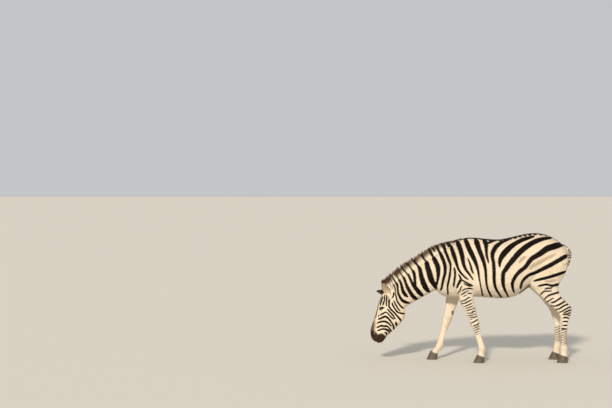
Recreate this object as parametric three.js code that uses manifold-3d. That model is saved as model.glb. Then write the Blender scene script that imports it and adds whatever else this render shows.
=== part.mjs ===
// A plains zebra at life size, walking with its head lowered to graze.
// Millimetres, +Z up. The zebra faces -X, its left side is towards -Y, and its soles stand on Z = 0.
// The body is one loft-built form, joined and then parted at the joints a person would name.
import * as THREE from "three";
import { mergeVertices } from "three/addons/utils/BufferGeometryUtils.js";
import Module from "manifold-3d";

const wasm = await Module();
wasm.setup();

// ---- Driving dimensions ----
const GAP = 0.3; // between neighbouring pieces
const LEFT = -1;
const RIGHT = 1;
const EYE_RADIUS = 21;
const EYE = { x: -944, z: 560, y: 75 };
const EAR_LENGTH = 172;
const EAR_HALF_WIDTH = 42;
const EAR_WALL = 7;
const CORONET_RISE = 12; // the coronet is this much higher at the toe than at the heel

// ---- Solids ----
function solidOf(geometry) {
  const bare = new THREE.BufferGeometry();
  const source = geometry.index ? geometry.toNonIndexed() : geometry;
  bare.setAttribute("position", source.getAttribute("position"));
  const merged = mergeVertices(bare, 1e-3);
  const vertProperties = merged.attributes.position.array;
  const triVerts = new Uint32Array(merged.index.array);
  const made = new wasm.Manifold(new wasm.Mesh({ numProp: 3, vertProperties, triVerts }));
  if (made.volume() > 0) return made;
  for (let i = 0; i < triVerts.length; i += 3) {
    [triVerts[i + 1], triVerts[i + 2]] = [triVerts[i + 2], triVerts[i + 1]];
  }
  return new wasm.Manifold(new wasm.Mesh({ numProp: 3, vertProperties, triVerts }));
}

function geometryOf(solid) {
  const mesh = solid.getMesh();
  const geometry = new THREE.BufferGeometry();
  geometry.setAttribute("position", new THREE.BufferAttribute(mesh.vertProperties, 3));
  geometry.setIndex(new THREE.BufferAttribute(mesh.triVerts, 1));
  return geometry;
}

// Joins rings of equal count into a closed skin. Each end is closed by a fan to the middle of its ring.
function skinOver(rings) {
  const sides = rings[0].length;
  const points = rings.flat();
  const faces = [];
  for (let r = 0; r + 1 < rings.length; r++) {
    for (let k = 0; k < sides; k++) {
      const a = r * sides + k;
      const b = r * sides + ((k + 1) % sides);
      faces.push(a, b, b + sides, a, b + sides, a + sides);
    }
  }
  for (const [ring, start, turned] of [[rings[0], 0, true], [rings.at(-1), (rings.length - 1) * sides, false]]) {
    const middle = ring.reduce((sum, p) => sum.add(p), new THREE.Vector3()).divideScalar(sides);
    points.push(middle);
    for (let k = 0; k < sides; k++) {
      const a = start + k;
      const b = start + ((k + 1) % sides);
      faces.push(...(turned ? [b, a, points.length - 1] : [a, b, points.length - 1]));
    }
  }
  const geometry = new THREE.BufferGeometry().setFromPoints(points);
  geometry.setIndex(faces);
  return geometry;
}

// ---- Lofts ----
// A section is a closed curve across the body. front and back are its two ends in the side view, [x, z], with
// front also the top of the trunk, neck and head. out is its half-width on the outer side, and inn on the inner
// one. wide is where it is widest, from -1 at back to 1 at front, and round is its exponent: 2 is an ellipse.
const CHANNELS = {
  fx: (s) => s.front[0],
  fz: (s) => s.front[1],
  bx: (s) => s.back[0],
  bz: (s) => s.back[1],
  out: (s) => s.out,
  inn: (s) => s.inn ?? s.out,
  y: (s) => s.y ?? 0,
  wide: (s) => s.wide ?? 0,
  round: (s) => s.round ?? 2.1,
};

function catmull(a, b, c, d, t) {
  const p = (c - a) / 2;
  const q = (d - b) / 2;
  return (2 * b - 2 * c + p + q) * t ** 3 + (3 * c - 3 * b - 2 * p - q) * t ** 2 + p * t + b;
}

function sectionsBetween(sections, steps) {
  const last = sections.length - 1;
  const made = [];
  for (let i = 0; i < last; i++) {
    for (let k = 0; k < steps; k++) {
      const s = {};
      for (const [name, read] of Object.entries(CHANNELS)) {
        const four = [i - 1, i, i + 1, i + 2].map((j) => read(sections[Math.min(Math.max(j, 0), last)]));
        s[name] = catmull(...four, k / steps);
      }
      made.push(s);
    }
  }
  const end = {};
  for (const [name, read] of Object.entries(CHANNELS)) end[name] = read(sections[last]);
  made.push(end);
  return made;
}

function power(value, exponent) {
  return Math.sign(value) * Math.abs(value) ** exponent;
}

function loft(sections, { sides = 20, steps = 2, side = RIGHT, grow = 0 } = {}) {
  const rings = sectionsBetween(sections, steps).map((s) => {
    const along = new THREE.Vector2(s.fx - s.bx, s.fz - s.bz);
    const reach = along.length() / 2 + grow;
    along.normalize();
    const ring = [];
    for (let k = 0; k < sides; k++) {
      const angle = (2 * Math.PI * k) / sides;
      const up = power(Math.sin(angle), 2 / s.round);
      const v = s.wide + (up > 0 ? up * (1 - s.wide) : up * (1 + s.wide));
      const across = power(Math.cos(angle), 2 / s.round);
      const half = (across > 0 ? s.out : s.inn) + grow;
      ring.push(
        new THREE.Vector3(
          (s.fx + s.bx) / 2 + along.x * reach * v,
          side * (s.y + across * half),
          (s.fz + s.bz) / 2 + along.y * reach * v,
        ),
      );
    }
    return ring;
  });
  return solidOf(skinOver(rings));
}

// ---- Trunk, neck and head ----
const TRUNK = [
  { front: [-368, 800], back: [-362, 762], out: 50 },
  { front: [-352, 930], back: [-336, 716], out: 112, wide: -0.1 },
  { front: [-280, 1110], back: [-270, 678], out: 158, wide: -0.25 },
  { front: [-175, 1248], back: [-180, 664], out: 186, wide: -0.35, round: 2.05 },
  { front: [-60, 1301], back: [-80, 664], out: 206, wide: -0.4, round: 1.95 },
  { front: [60, 1300], back: [30, 676], out: 226, wide: -0.35, round: 1.95 },
  { front: [186, 1287], back: [150, 668], out: 250, wide: -0.25, round: 2.0 },
  { front: [309, 1284], back: [270, 660], out: 268, wide: -0.2, round: 2.1 },
  { front: [432, 1309], back: [385, 662], out: 270, wide: -0.15, round: 2.15 },
  { front: [556, 1338], back: [490, 694], out: 258, wide: -0.05, round: 2.15 },
  { front: [679, 1350], back: [585, 762], out: 244, wide: 0.05, round: 2.15 },
  { front: [795, 1330], back: [690, 822], out: 226, wide: 0.1, round: 2.1 },
  { front: [893, 1282], back: [800, 856], out: 198, wide: 0.12 },
  { front: [970, 1222], back: [890, 900], out: 150, wide: 0.1 },
  { front: [1010, 1160], back: [950, 965], out: 92 },
  { front: [1014, 1110], back: [985, 1030], out: 36 },
];
const NECK = [
  { front: [-40, 1270], back: [-215, 745], out: 120, wide: -0.3 },
  { front: [-135, 1284], back: [-300, 722], out: 132, wide: -0.35 },
  { front: [-225, 1212], back: [-362, 746], out: 118, wide: -0.3 },
  { front: [-330, 1150], back: [-425, 716], out: 104, wide: -0.25 },
  { front: [-450, 1074], back: [-500, 678], out: 93, wide: -0.2 },
  { front: [-570, 992], back: [-572, 636], out: 85, wide: -0.15 },
  { front: [-680, 918], back: [-635, 600], out: 80, wide: -0.1 },
  { front: [-775, 850], back: [-680, 572], out: 77, wide: 0 },
  { front: [-845, 792], back: [-715, 540], out: 74, wide: 0.1 },
  { front: [-880, 740], back: [-745, 520], out: 60, wide: 0.2 },
];
const HEAD = [
  { front: [-832, 768], back: [-722, 648], out: 46, wide: 0.2 },
  { front: [-862, 764], back: [-700, 590], out: 68, wide: 0.25 },
  { front: [-906, 735], back: [-692, 528], out: 80, wide: 0.3 },
  { front: [-944, 688], back: [-694, 478], out: 88, wide: 0.35, round: 2.25 },
  { front: [-966, 636], back: [-708, 436], out: 95, wide: 0.42, round: 2.35 },
  { front: [-981, 585], back: [-732, 402], out: 96, wide: 0.45, round: 2.35 },
  { front: [-995, 532], back: [-765, 370], out: 84, wide: 0.35, round: 2.3 },
  { front: [-1012, 476], back: [-806, 332], out: 68, wide: 0.2, round: 2.3 },
  { front: [-1030, 420], back: [-846, 296], out: 57, wide: 0.1, round: 2.3 },
  { front: [-1048, 366], back: [-880, 262], out: 53, wide: 0.05, round: 2.3 },
  { front: [-1060, 312], back: [-904, 232], out: 54, wide: 0.1, round: 2.35 },
  { front: [-1055, 262], back: [-925, 206], out: 47, wide: 0.05, round: 2.3 },
  { front: [-1032, 222], back: [-950, 194], out: 32, round: 2.2 },
  { front: [-1008, 204], back: [-975, 193], out: 14 },
];

// ---- Legs ----
const SHOULDER = [
  { front: [-130, 1232], back: [20, 1232], out: 44, inn: 40, y: 56 },
  { front: [-212, 1120], back: [52, 1100], out: 72, inn: 50, y: 108 },
  { front: [-288, 990], back: [66, 960], out: 80, inn: 60, y: 124 },
  { front: [-312, 885], back: [66, 862], out: 80, inn: 65, y: 132 },
  { front: [-262, 800], back: [44, 790], out: 70, inn: 60, y: 134 },
];
// The limb below the elbow, by bone. at runs from 0 at the bone's upper joint to 1 at its lower one.
const FORELIMB = [
  { bone: 0, at: 0.02, front: 92, back: 78, out: 62, inn: 50 },
  { bone: 0, at: 0.2, front: 92, back: 60, out: 54, inn: 44 },
  { bone: 0, at: 0.44, front: 78, back: 52, out: 45, inn: 40 },
  { bone: 0, at: 0.7, front: 58, back: 50, out: 39, inn: 36 },
  { bone: 0, at: 0.93, front: 48, back: 49, out: 40, inn: 37 },
  { bone: 1, at: 0.05, front: 44, back: 46, out: 39, inn: 36 },
  { bone: 1, at: 0.22, front: 36, back: 39, out: 31, inn: 29 },
  { bone: 1, at: 0.45, front: 31, back: 35, out: 26, inn: 25 },
  { bone: 1, at: 0.75, front: 30, back: 36, out: 26, inn: 25 },
  { bone: 1, at: 0.98, front: 35, back: 42, out: 34, inn: 33 },
  { bone: 2, at: 0.45, front: 31, back: 33, out: 30, inn: 29 },
];
const FORE_JOINTS = {
  [LEFT]: { elbow: [-68, 738], knee: [22, 406], fetlock: [95, 150], coronet: [88, 66] },
  [RIGHT]: { elbow: [-128, 738], knee: [-246, 396], fetlock: [-324, 140], coronet: [-374, 68] },
};
const FORE_Y = { elbow: 132, knee: 126, fetlock: 122, coronet: 122 };
// ahead is how much further forward the right hind limb is than the left one, at the same height.
const HINDLIMB = [
  { front: [650, 1240], back: [900, 1225], out: 60, inn: 60, y: 85, ahead: 0 },
  { front: [592, 1130], back: [980, 1140], out: 100, inn: 80, y: 108, ahead: 0 },
  { front: [572, 1000], back: [1004, 1060], out: 114, inn: 100, y: 122, ahead: 0 },
  { front: [574, 890], back: [974, 950], out: 106, inn: 98, y: 126, ahead: 0 },
  { front: [592, 800], back: [918, 852], out: 88, inn: 84, y: 130, ahead: -10 },
  { front: [650, 735], back: [892, 780], out: 70, inn: 64, y: 130, ahead: -16 },
  { front: [728, 668], back: [914, 712], out: 56, inn: 50, y: 128, ahead: -14 },
  { front: [796, 606], back: [962, 648], out: 46, inn: 42, y: 126, ahead: 2 },
  { front: [858, 552], back: [1022, 588], out: 40, inn: 37, y: 124, ahead: 20 },
  { front: [898, 505], back: [1034, 536], out: 40, inn: 38, y: 122, ahead: 36 },
  { front: [918, 452], back: [1012, 462], out: 34, inn: 34, y: 121, ahead: 36 },
  { front: [926, 395], back: [993, 396], out: 28, inn: 28, y: 120, ahead: 26 },
  { front: [926, 300], back: [986, 300], out: 25, inn: 25, y: 119, ahead: 16 },
  { front: [922, 212], back: [984, 208], out: 27, inn: 26, y: 118, ahead: 16 },
  { front: [914, 158], back: [990, 142], out: 34, inn: 33, y: 118, ahead: 18 },
  { front: [917, 114], back: [986, 96], out: 31, inn: 30, y: 118, ahead: 24 },
];
const HIND_CORONET = { x: 957, z: 66, y: 118, ahead: 35 };
const CORONET = { toe: 42, heel: 41, half: 39 }; // reach of the coronet from its middle
const SOLE = { toe: 64, heel: 50, half: 46, round: 2.3 };

// The point of a bent limb at a share of one bone, and the direction across it, towards the front.
function limbSection(joints, heights, part) {
  const names = Object.keys(joints);
  const points = names.map((n) => new THREE.Vector2(...joints[n]));
  const along = (i) => points[i + 1].clone().sub(points[i]).normalize();
  const from = points[part.bone];
  const middle = from.clone().lerp(points[part.bone + 1], part.at);
  const next = Math.min(part.bone + 1, points.length - 2);
  const before = Math.max(part.bone - 1, 0);
  const near = part.at < 0.5 ? along(before) : along(next);
  const bend = 0.5 * (2 * Math.abs(part.at - 0.5)) ** 3;
  const down = along(part.bone).lerp(near, bend).normalize();
  const forward = new THREE.Vector2(down.y, -down.x);
  const y = THREE.MathUtils.lerp(heights[names[part.bone]], heights[names[part.bone + 1]], part.at);
  return {
    front: middle.clone().addScaledVector(forward, part.front).toArray(),
    back: middle.clone().addScaledVector(forward, -part.back).toArray(),
    out: part.out,
    inn: part.inn,
    y,
  };
}

function coronetSection(x, z, y, lower = 0) {
  return {
    front: [x - CORONET.toe, z + CORONET_RISE - lower],
    back: [x + CORONET.heel, z - CORONET_RISE - lower],
    out: CORONET.half,
    y,
    wide: 0.1,
    round: 2.2,
  };
}

function foreleg(side) {
  const joints = FORE_JOINTS[side];
  const limb = FORELIMB.map((part) => limbSection(joints, FORE_Y, part));
  const end = coronetSection(...joints.coronet, FORE_Y.coronet);
  return loft([...SHOULDER, ...limb, end], { sides: 12, side });
}

function hindCoronetX(side) {
  return side === RIGHT ? HIND_CORONET.x - HIND_CORONET.ahead : HIND_CORONET.x;
}

function hindleg(side) {
  const limb = HINDLIMB.map((part) => {
    const ahead = side === RIGHT ? part.ahead : 0;
    return { ...part, front: [part.front[0] - ahead, part.front[1]], back: [part.back[0] - ahead, part.back[1]] };
  });
  const end = coronetSection(hindCoronetX(side), HIND_CORONET.z, HIND_CORONET.y);
  return loft([...limb, end], { sides: 12, side });
}

// A hoof widens from the coronet to a flat sole, with its toe ahead of the coronet.
function hoof(x, z, y, side) {
  const forward = 16;
  const sole = {
    front: [x - SOLE.toe - forward, 0],
    back: [x + SOLE.heel - forward, 0],
    out: SOLE.half,
    y,
    wide: 0.12,
    round: SOLE.round,
  };
  const lip = { ...coronetSection(x, z, y, GAP + 8), out: CORONET.half + 3 };
  lip.front[0] -= 4;
  return loft([coronetSection(x, z, y, GAP), lip, sole], { sides: 16, steps: 1, side });
}

// ---- Tail and mane ----
const DOCK = [
  { front: [968, 1236], back: [940, 1160], out: 34 },
  { front: [1022, 1200], back: [990, 1142], out: 29, y: 2 },
  { front: [1060, 1150], back: [1020, 1118], out: 24, y: 8 },
  { front: [1064, 1088], back: [1028, 1080], out: 20, y: 22 },
  { front: [1044, 1012], back: [1010, 1016], out: 17, y: 46 },
  { front: [1014, 936], back: [984, 946], out: 15, y: 82 },
  { front: [980, 872], back: [954, 884], out: 14, y: 120 },
  { front: [946, 815], back: [922, 822], out: 13, y: 155 },
  { front: [927, 756], back: [907, 758], out: 12, y: 186 },
];
const TUFT = [
  { front: [938, 800], back: [908, 802], out: 17, y: 166 },
  { front: [938, 742], back: [894, 744], out: 24, y: 192 },
  { front: [942, 670], back: [888, 670], out: 29, y: 214 },
  { front: [946, 590], back: [888, 590], out: 31, y: 226 },
  { front: [946, 515], back: [896, 515], out: 27, y: 232 },
  { front: [938, 455], back: [908, 455], out: 17, y: 234 },
  { front: [928, 422], back: [918, 422], out: 6, y: 234 },
];
const MANE = [
  { front: [-938, 712], back: [-918, 690], out: 10 },
  { front: [-926, 790], back: [-896, 736], out: 16 },
  { front: [-944, 842], back: [-866, 770], out: 20 },
  { front: [-880, 895], back: [-838, 790], out: 23 },
  { front: [-800, 958], back: [-756, 862], out: 24 },
  { front: [-700, 1030], back: [-652, 934], out: 25 },
  { front: [-590, 1098], back: [-540, 1008], out: 25 },
  { front: [-480, 1166], back: [-430, 1080], out: 24 },
  { front: [-375, 1222], back: [-330, 1144], out: 22 },
  { front: [-285, 1250], back: [-248, 1192], out: 18 },
  { front: [-205, 1266], back: [-176, 1224], out: 13 },
  { front: [-105, 1299], back: [-95, 1262], out: 5 },
];

// ---- Ears ----
// An ear is a cupped leaf. axis runs from its root to its tip, and mouth is the way the cup opens.
const EARS = {
  [LEFT]: { root: [-870, -60, 694], axis: [-75, -45, 152], mouth: [-0.5, -0.8, -0.1] },
  [RIGHT]: { root: [-870, 60, 694], axis: [-112, 122, 24], mouth: [-0.72, -0.3, -0.62] },
};
const EAR_RINGS = 8;
const EAR_ARC = 4;

function ear({ root, axis, mouth }) {
  const long = new THREE.Vector3(...axis).normalize();
  const open = new THREE.Vector3(...mouth);
  open.addScaledVector(long, -open.dot(long)).normalize();
  const wide = new THREE.Vector3().crossVectors(long, open);
  const rings = [];
  for (let i = 0; i <= EAR_RINGS; i++) {
    const t = i / EAR_RINGS;
    const fill = Math.sin(Math.PI * Math.min(1, 0.22 + 0.78 * t) ** 1.25) ** 0.75;
    const half = Math.max(EAR_HALF_WIDTH * fill, 2.5);
    const arc = THREE.MathUtils.degToRad(THREE.MathUtils.lerp(118, 62, t ** 0.6));
    const radius = half / Math.sin(Math.min(arc, Math.PI / 2));
    const wall = THREE.MathUtils.lerp(EAR_WALL, 3.5, t);
    const middle = new THREE.Vector3(...root).addScaledVector(long, t * EAR_LENGTH);
    middle.addScaledVector(open, radius * Math.max(Math.cos(arc), 0));
    const place = (angle, r) =>
      middle.clone().addScaledVector(wide, Math.sin(angle) * r).addScaledVector(open, -Math.cos(angle) * r);
    const ring = [];
    for (let k = -EAR_ARC; k <= EAR_ARC; k++) ring.push(place((arc * k) / EAR_ARC, radius));
    const inner = Math.max(radius - wall, radius * 0.25);
    for (let k = EAR_ARC; k >= -EAR_ARC; k--) ring.push(place((arc * k) / EAR_ARC, inner));
    rings.push(ring);
  }
  return solidOf(leafOver(rings));
}

// Joins crescent rings into a closed skin, with each end closed across the thickness of the leaf.
function leafOver(rings) {
  const sides = rings[0].length;
  const points = rings.flat();
  const faces = [];
  for (let r = 0; r + 1 < rings.length; r++) {
    for (let k = 0; k < sides; k++) {
      const a = r * sides + k;
      const b = r * sides + ((k + 1) % sides);
      faces.push(a, b, b + sides, a, b + sides, a + sides);
    }
  }
  for (const [start, turned] of [[0, true], [(rings.length - 1) * sides, false]]) {
    for (let k = 0; k + 1 < sides / 2; k++) {
      const [a, b, c, d] = [start + k, start + k + 1, start + sides - 2 - k, start + sides - 1 - k];
      faces.push(...(turned ? [b, a, c, c, a, d] : [a, b, c, a, c, d]));
    }
  }
  const geometry = new THREE.BufferGeometry().setFromPoints(points);
  geometry.setIndex(faces);
  return geometry;
}

function eye(side, grow = 0) {
  const ball = new THREE.SphereGeometry(EYE_RADIUS + grow, 14, 9);
  ball.translate(EYE.x, side * EYE.y, EYE.z);
  return solidOf(ball);
}

// ---- Parting ----
const FAR = 3000;

// Everything on one side of a plane through a point, as a large box whose face lies on that plane.
function beyond(point, normal, back = 0) {
  const out = new THREE.Vector3(...normal).normalize();
  const box = new THREE.BoxGeometry(FAR, FAR, FAR);
  box.translate(0, 0, FAR / 2 + back);
  box.applyQuaternion(new THREE.Quaternion().setFromUnitVectors(new THREE.Vector3(0, 0, 1), out));
  box.translate(...point);
  return solidOf(box);
}

// A leg is parted where it leaves the trunk, on a plane that rises outwards and, behind, rearwards too.
function legPlane(side, { point, rise, slope }) {
  return { point: [point[0], side * point[1], point[2]], normal: [rise, side * slope, -1] };
}
const FORE_CUT = { point: [-80, 132, 690], rise: 0, slope: 0.5 };
const HIND_CUT = { point: [700, 128, 772], rise: 0.32, slope: 0.22 };
const NECK_PLANE = { point: [-235, 0, 1010], normal: [-0.925, 0, 0.38] };
const HEAD_PLANE = { point: [-778, 0, 690], normal: [-0.86, 0, -0.51] };

const legs = [];
for (const [name, side] of [["left", LEFT], ["right", RIGHT]]) {
  legs.push({ name: `foreleg_${name}`, made: foreleg(side), cut: legPlane(side, FORE_CUT) });
  legs.push({ name: `hindleg_${name}`, made: hindleg(side), cut: legPlane(side, HIND_CUT) });
}
function bodyLofts(grow = 0) {
  const trunk = loft(TRUNK, { sides: 20, grow });
  const neck = loft(NECK, { sides: 16, grow });
  return trunk.add(neck).add(loft(HEAD, { sides: 20, grow }));
}

const pieces = {};
let body = bodyLofts();
for (const { name, made, cut } of legs) {
  pieces[name] = made.intersect(beyond(cut.point, cut.normal));
  body = body.add(made.subtract(beyond(cut.point, cut.normal, -GAP)));
}
pieces.head = body.intersect(beyond(HEAD_PLANE.point, HEAD_PLANE.normal));
const behindHead = body.subtract(beyond(HEAD_PLANE.point, HEAD_PLANE.normal, -GAP));
pieces.neck = behindHead.intersect(beyond(NECK_PLANE.point, NECK_PLANE.normal));
pieces.trunk = behindHead.subtract(beyond(NECK_PLANE.point, NECK_PLANE.normal, -GAP));

const aroundBody = bodyLofts(GAP);
const aroundDock = loft(DOCK, { sides: 8, grow: GAP });
pieces.mane = loft(MANE, { sides: 8, steps: 1 }).subtract(aroundBody);
pieces.tail = loft(DOCK, { sides: 8 }).subtract(aroundBody);
pieces.tail_tuft = loft(TUFT, { sides: 8 }).subtract(aroundDock);
for (const [name, side] of [["left", LEFT], ["right", RIGHT]]) {
  pieces[`ear_${name}`] = ear(EARS[side]).subtract(aroundBody);
  pieces[`eye_${name}`] = eye(side);
  pieces.head = pieces.head.subtract(eye(side, GAP));
  pieces[`hoof_fore_${name}`] = hoof(...FORE_JOINTS[side].coronet, FORE_Y.coronet, side);
  pieces[`hoof_hind_${name}`] = hoof(hindCoronetX(side), HIND_CORONET.z, HIND_CORONET.y, side);
}

// ---- Finishes ----
const FINISHES = {
  coat: { color: 0xe9dcc2, roughness: 0.85 },
  mane: { color: 0x3a2a20, roughness: 0.9 },
  horn: { color: 0x3b332c, roughness: 0.6 },
  eye: { color: 0x0d0806, roughness: 0.08 },
};
function finishOf(name) {
  if (name.startsWith("hoof")) return FINISHES.horn;
  if (name.startsWith("eye")) return FINISHES.eye;
  if (name === "mane" || name === "tail_tuft") return FINISHES.mane;
  return FINISHES.coat;
}

const zebra = new THREE.Group();
for (const [name, solid] of Object.entries(pieces)) {
  const mesh = new THREE.Mesh(geometryOf(solid), new THREE.MeshStandardMaterial({ metalness: 0, ...finishOf(name) }));
  mesh.name = name;
  zebra.add(mesh);
}
// The origin is under the middle of the model, on the ground.
const middle = new THREE.Box3().setFromObject(zebra, true).getCenter(new THREE.Vector3());
zebra.position.set(-middle.x, -middle.y, 0);

export default zebra;
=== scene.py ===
"""A plains zebra, life size and still: one skin with lids, lips and nostrils, a striped coat of short tufts,
an upright mane, a tail tuft, wet eyes and ringed hooves.

Metres, +Z up. The zebra faces -X and its left side is towards -Y. Tables of the body are in millimetres, in a
frame whose ground and middle plane are the row's, and whose X differs from the row's by SHIFT.
"""

import math

import bmesh
import bpy
import numpy as np
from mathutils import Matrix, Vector


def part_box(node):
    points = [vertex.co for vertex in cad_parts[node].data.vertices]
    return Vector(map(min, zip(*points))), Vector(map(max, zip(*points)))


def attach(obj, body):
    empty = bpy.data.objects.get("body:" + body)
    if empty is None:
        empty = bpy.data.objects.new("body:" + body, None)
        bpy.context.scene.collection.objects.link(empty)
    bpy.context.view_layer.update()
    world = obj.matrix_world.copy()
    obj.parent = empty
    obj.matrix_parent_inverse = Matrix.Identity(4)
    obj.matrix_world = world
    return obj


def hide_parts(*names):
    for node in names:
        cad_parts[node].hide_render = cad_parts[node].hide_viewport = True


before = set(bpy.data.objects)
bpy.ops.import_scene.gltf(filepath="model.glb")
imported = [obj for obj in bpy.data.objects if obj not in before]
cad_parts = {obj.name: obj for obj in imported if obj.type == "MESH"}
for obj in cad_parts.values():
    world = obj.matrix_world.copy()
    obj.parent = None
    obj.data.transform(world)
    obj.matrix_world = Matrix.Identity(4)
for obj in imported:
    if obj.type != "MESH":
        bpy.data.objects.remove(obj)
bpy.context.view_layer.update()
MM = 0.001

# ---- Landmarks of the body, in millimetres ----
EYE = np.array([-944.0, 75.0, 560.0])  # of the right eye; the left eye is its mirror image
EYE_RADIUS = 21.0
EYE_LOOK = np.array([-0.34, 0.92, 0.10])  # the way the right eye looks
eye_low, eye_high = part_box("eye_right")
SHIFT = (eye_low.x + eye_high.x) / 2 - EYE[0] * MM
LEFT, RIGHT = -1, 1
SIDES = {"left": LEFT, "right": RIGHT}
FORE_JOINTS = {
    LEFT: [(-68, 738), (22, 406), (95, 150), (88, 66)],
    RIGHT: [(-128, 738), (-246, 396), (-324, 140), (-374, 68)],
}
FORE_Y = [132, 126, 122, 122]
HIND_JOINTS = {
    LEFT: [(700, 800), (965, 548), (955, 165), (957, 66)],
    RIGHT: [(710, 800), (940, 548), (938, 165), (922, 66)],
}
HIND_Y = [130, 123, 118, 118]
HEAD_DOWN = np.array([-0.381, 0.0, -0.925])  # from the poll to the nose
HEAD_BACK = np.array([0.925, 0.0, -0.381])  # from the forehead to the jaw
FLESH = [
    "trunk",
    "neck",
    "head",
    "foreleg_left",
    "foreleg_right",
    "hindleg_left",
    "hindleg_right",
    "tail",
]
COAT_DEPTHS = {"trunk": 3.4, "leg": 2.4, "head": 2.0}  # from the skin to the outline of the solids
VOXEL = 5.0  # size of the grid that joins the solids into one skin
GROWTH = 0.5  # how much each solid is grown before that, so that neighbours join
HEAD_REAR = -640  # no point of the head is behind this x
BREAST_FRONT = -560  # and no point of the legs ahead of this one


def metres(points):
    """Body millimetres to metres in the row's frame."""
    moved = np.asarray(points, float) * MM
    moved[..., 0] += SHIFT
    return moved


def body_mm(points):
    """Metres in the row's frame to body millimetres."""
    moved = np.array(points, float)
    moved[..., 0] -= SHIFT
    return moved / MM


# ---- Small mathematics ----
def smoothstep(low, high, value):
    """0 up to low and 1 from high on, with a smooth rise between. low may be the larger one."""
    t = np.clip((value - low) / (high - low), 0, 1)
    return t * t * (3 - 2 * t)


def unit(vectors):
    """The vectors made one long."""
    length = np.linalg.norm(vectors, axis=-1, keepdims=True)
    return vectors / np.maximum(length, 1e-9)


def curve(points, steps=5):
    """A smooth curve through the points, in any number of columns."""
    p = np.asarray(points, float)
    p = np.vstack([2 * p[0] - p[1], p, 2 * p[-1] - p[-2]])
    made = []
    for a, b, c, d in zip(p[:-3], p[1:-2], p[2:-1], p[3:]):
        square, cube = 2 * a - 5 * b + 4 * c - d, 3 * b - a - 3 * c + d
        for t in np.arange(steps) / steps:
            made.append(0.5 * (2 * b + (c - a) * t + square * t**2 + cube * t**3))
    made.append(p[-2])
    return np.array(made)


# A smooth random value is the sum of this many sine waves, each with this pitch and starting anywhere in
# about a full turn. The sum is divided by the last number to lie near -1 to 1.
WAVES, WAVE_PITCH, WAVE_START, WAVE_TOTAL = 5, 2.2, 6.3, 2.6


def wander(points, size, seed):
    """A smooth random value from about -1 to 1 at each point, that changes over a length of size."""
    turn = np.random.default_rng(seed)
    total = np.zeros(len(points))
    for _ in range(WAVES):
        way = turn.normal(size=3) / size * WAVE_PITCH
        total += np.sin(points @ way + turn.uniform(0, WAVE_START))
    return total / WAVE_TOTAL


def wander_3d(points, size, seed):
    """Three such values for each point."""
    return np.stack([wander(points, size, seed + k) for k in range(3)], 1)


def swell(gap, radius, rise):
    """A round rise where the gap is 0, that fades out past the radius. A rise below 0 is a hollow."""
    return rise * np.exp(-((gap / radius) ** 2))


def eased(line, times):
    """The line with its kinks worn down and its ends kept."""
    line = np.array(line, float)
    for _ in range(times):
        line[1:-1] = line[1:-1] / 2 + (line[:-2] + line[2:]) / 4
    return line


def near_line(points, line):
    """For each point, the distance to a line of many points, and how far along it the nearest place is."""
    line = np.asarray(line, float)
    best = np.full(len(points), 1e9)
    along = np.zeros(len(points))
    for i, (a, b) in enumerate(zip(line[:-1], line[1:])):
        way = b - a
        t = np.clip((points - a) @ way / (way @ way), 0, 1)
        gap = np.linalg.norm(points - a - t[:, None] * way, axis=1)
        closer = gap < best
        best[closer] = gap[closer]
        along[closer] = (i + t[closer]) / (len(line) - 1)
    return best, along


# ---- Meshes as arrays ----
def arrays_of(mesh):
    """The points of a mesh, the point of each corner, and how many corners each face has."""
    points = np.empty(len(mesh.vertices) * 3, np.float32)
    mesh.vertices.foreach_get("co", points)
    corners = np.empty(len(mesh.loops), np.int32)
    mesh.loops.foreach_get("vertex_index", corners)
    totals = np.empty(len(mesh.polygons), np.int32)
    mesh.polygons.foreach_get("loop_total", totals)
    return points.reshape(-1, 3).astype(float), corners, totals


def make_mesh(name, points, corners, totals):
    """A smooth mesh from the arrays that arrays_of gives."""
    mesh = bpy.data.meshes.new(name)
    mesh.vertices.add(len(points))
    mesh.vertices.foreach_set("co", np.asarray(points, np.float32).ravel())
    mesh.loops.add(len(corners))
    mesh.loops.foreach_set("vertex_index", np.asarray(corners, np.int32))
    mesh.polygons.add(len(totals))
    mesh.polygons.foreach_set("loop_start", np.concatenate([[0], np.cumsum(totals)[:-1]]).astype(np.int32))
    mesh.update(calc_edges=True)
    mesh.polygons.foreach_set("use_smooth", np.ones(len(totals), bool))
    return mesh


def make_piece(name, mesh, material, replaces=()):
    """Puts a mesh on the zebra in one material, in place of these CAD nodes."""
    piece = bpy.data.objects.new(name, mesh)
    bpy.context.scene.collection.objects.link(piece)
    mesh.materials.clear()
    mesh.materials.append(material)
    mesh.polygons.foreach_set("material_index", np.zeros(len(mesh.polygons), np.int32))
    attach(piece, "root")
    if replaces:
        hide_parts(*replaces)


def scratch_object(mesh):
    """An object for modifiers, that evaluated takes away again."""
    thing = bpy.data.objects.new("scratch", mesh)
    bpy.context.scene.collection.objects.link(thing)
    return thing


def evaluated(thing):
    """The mesh of an object with its modifiers applied. The object goes."""
    graph = bpy.context.evaluated_depsgraph_get()
    mesh = bpy.data.meshes.new_from_object(thing.evaluated_get(graph))
    bpy.data.objects.remove(thing)
    return mesh


def set_attribute(mesh, name, values):
    """Gives each point of the mesh a named value."""
    layer = mesh.attributes.new(name, "FLOAT", "POINT")
    layer.data.foreach_set("value", np.asarray(values, np.float32).ravel())


def normals_of(mesh):
    """The normal at each point."""
    found = np.empty(len(mesh.vertices) * 3, np.float32)
    mesh.vertex_normals.foreach_get("vector", found)
    return found.reshape(-1, 3).astype(float)


def edges_of(mesh):
    """The two points of each edge."""
    found = np.empty(len(mesh.edges) * 2, np.int32)
    mesh.edges.foreach_get("vertices", found)
    return found.reshape(-1, 2)


def set_points(mesh, points):
    """Moves the points of a mesh."""
    mesh.vertices.foreach_set("co", np.asarray(points, np.float32).ravel())
    mesh.update()


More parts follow.
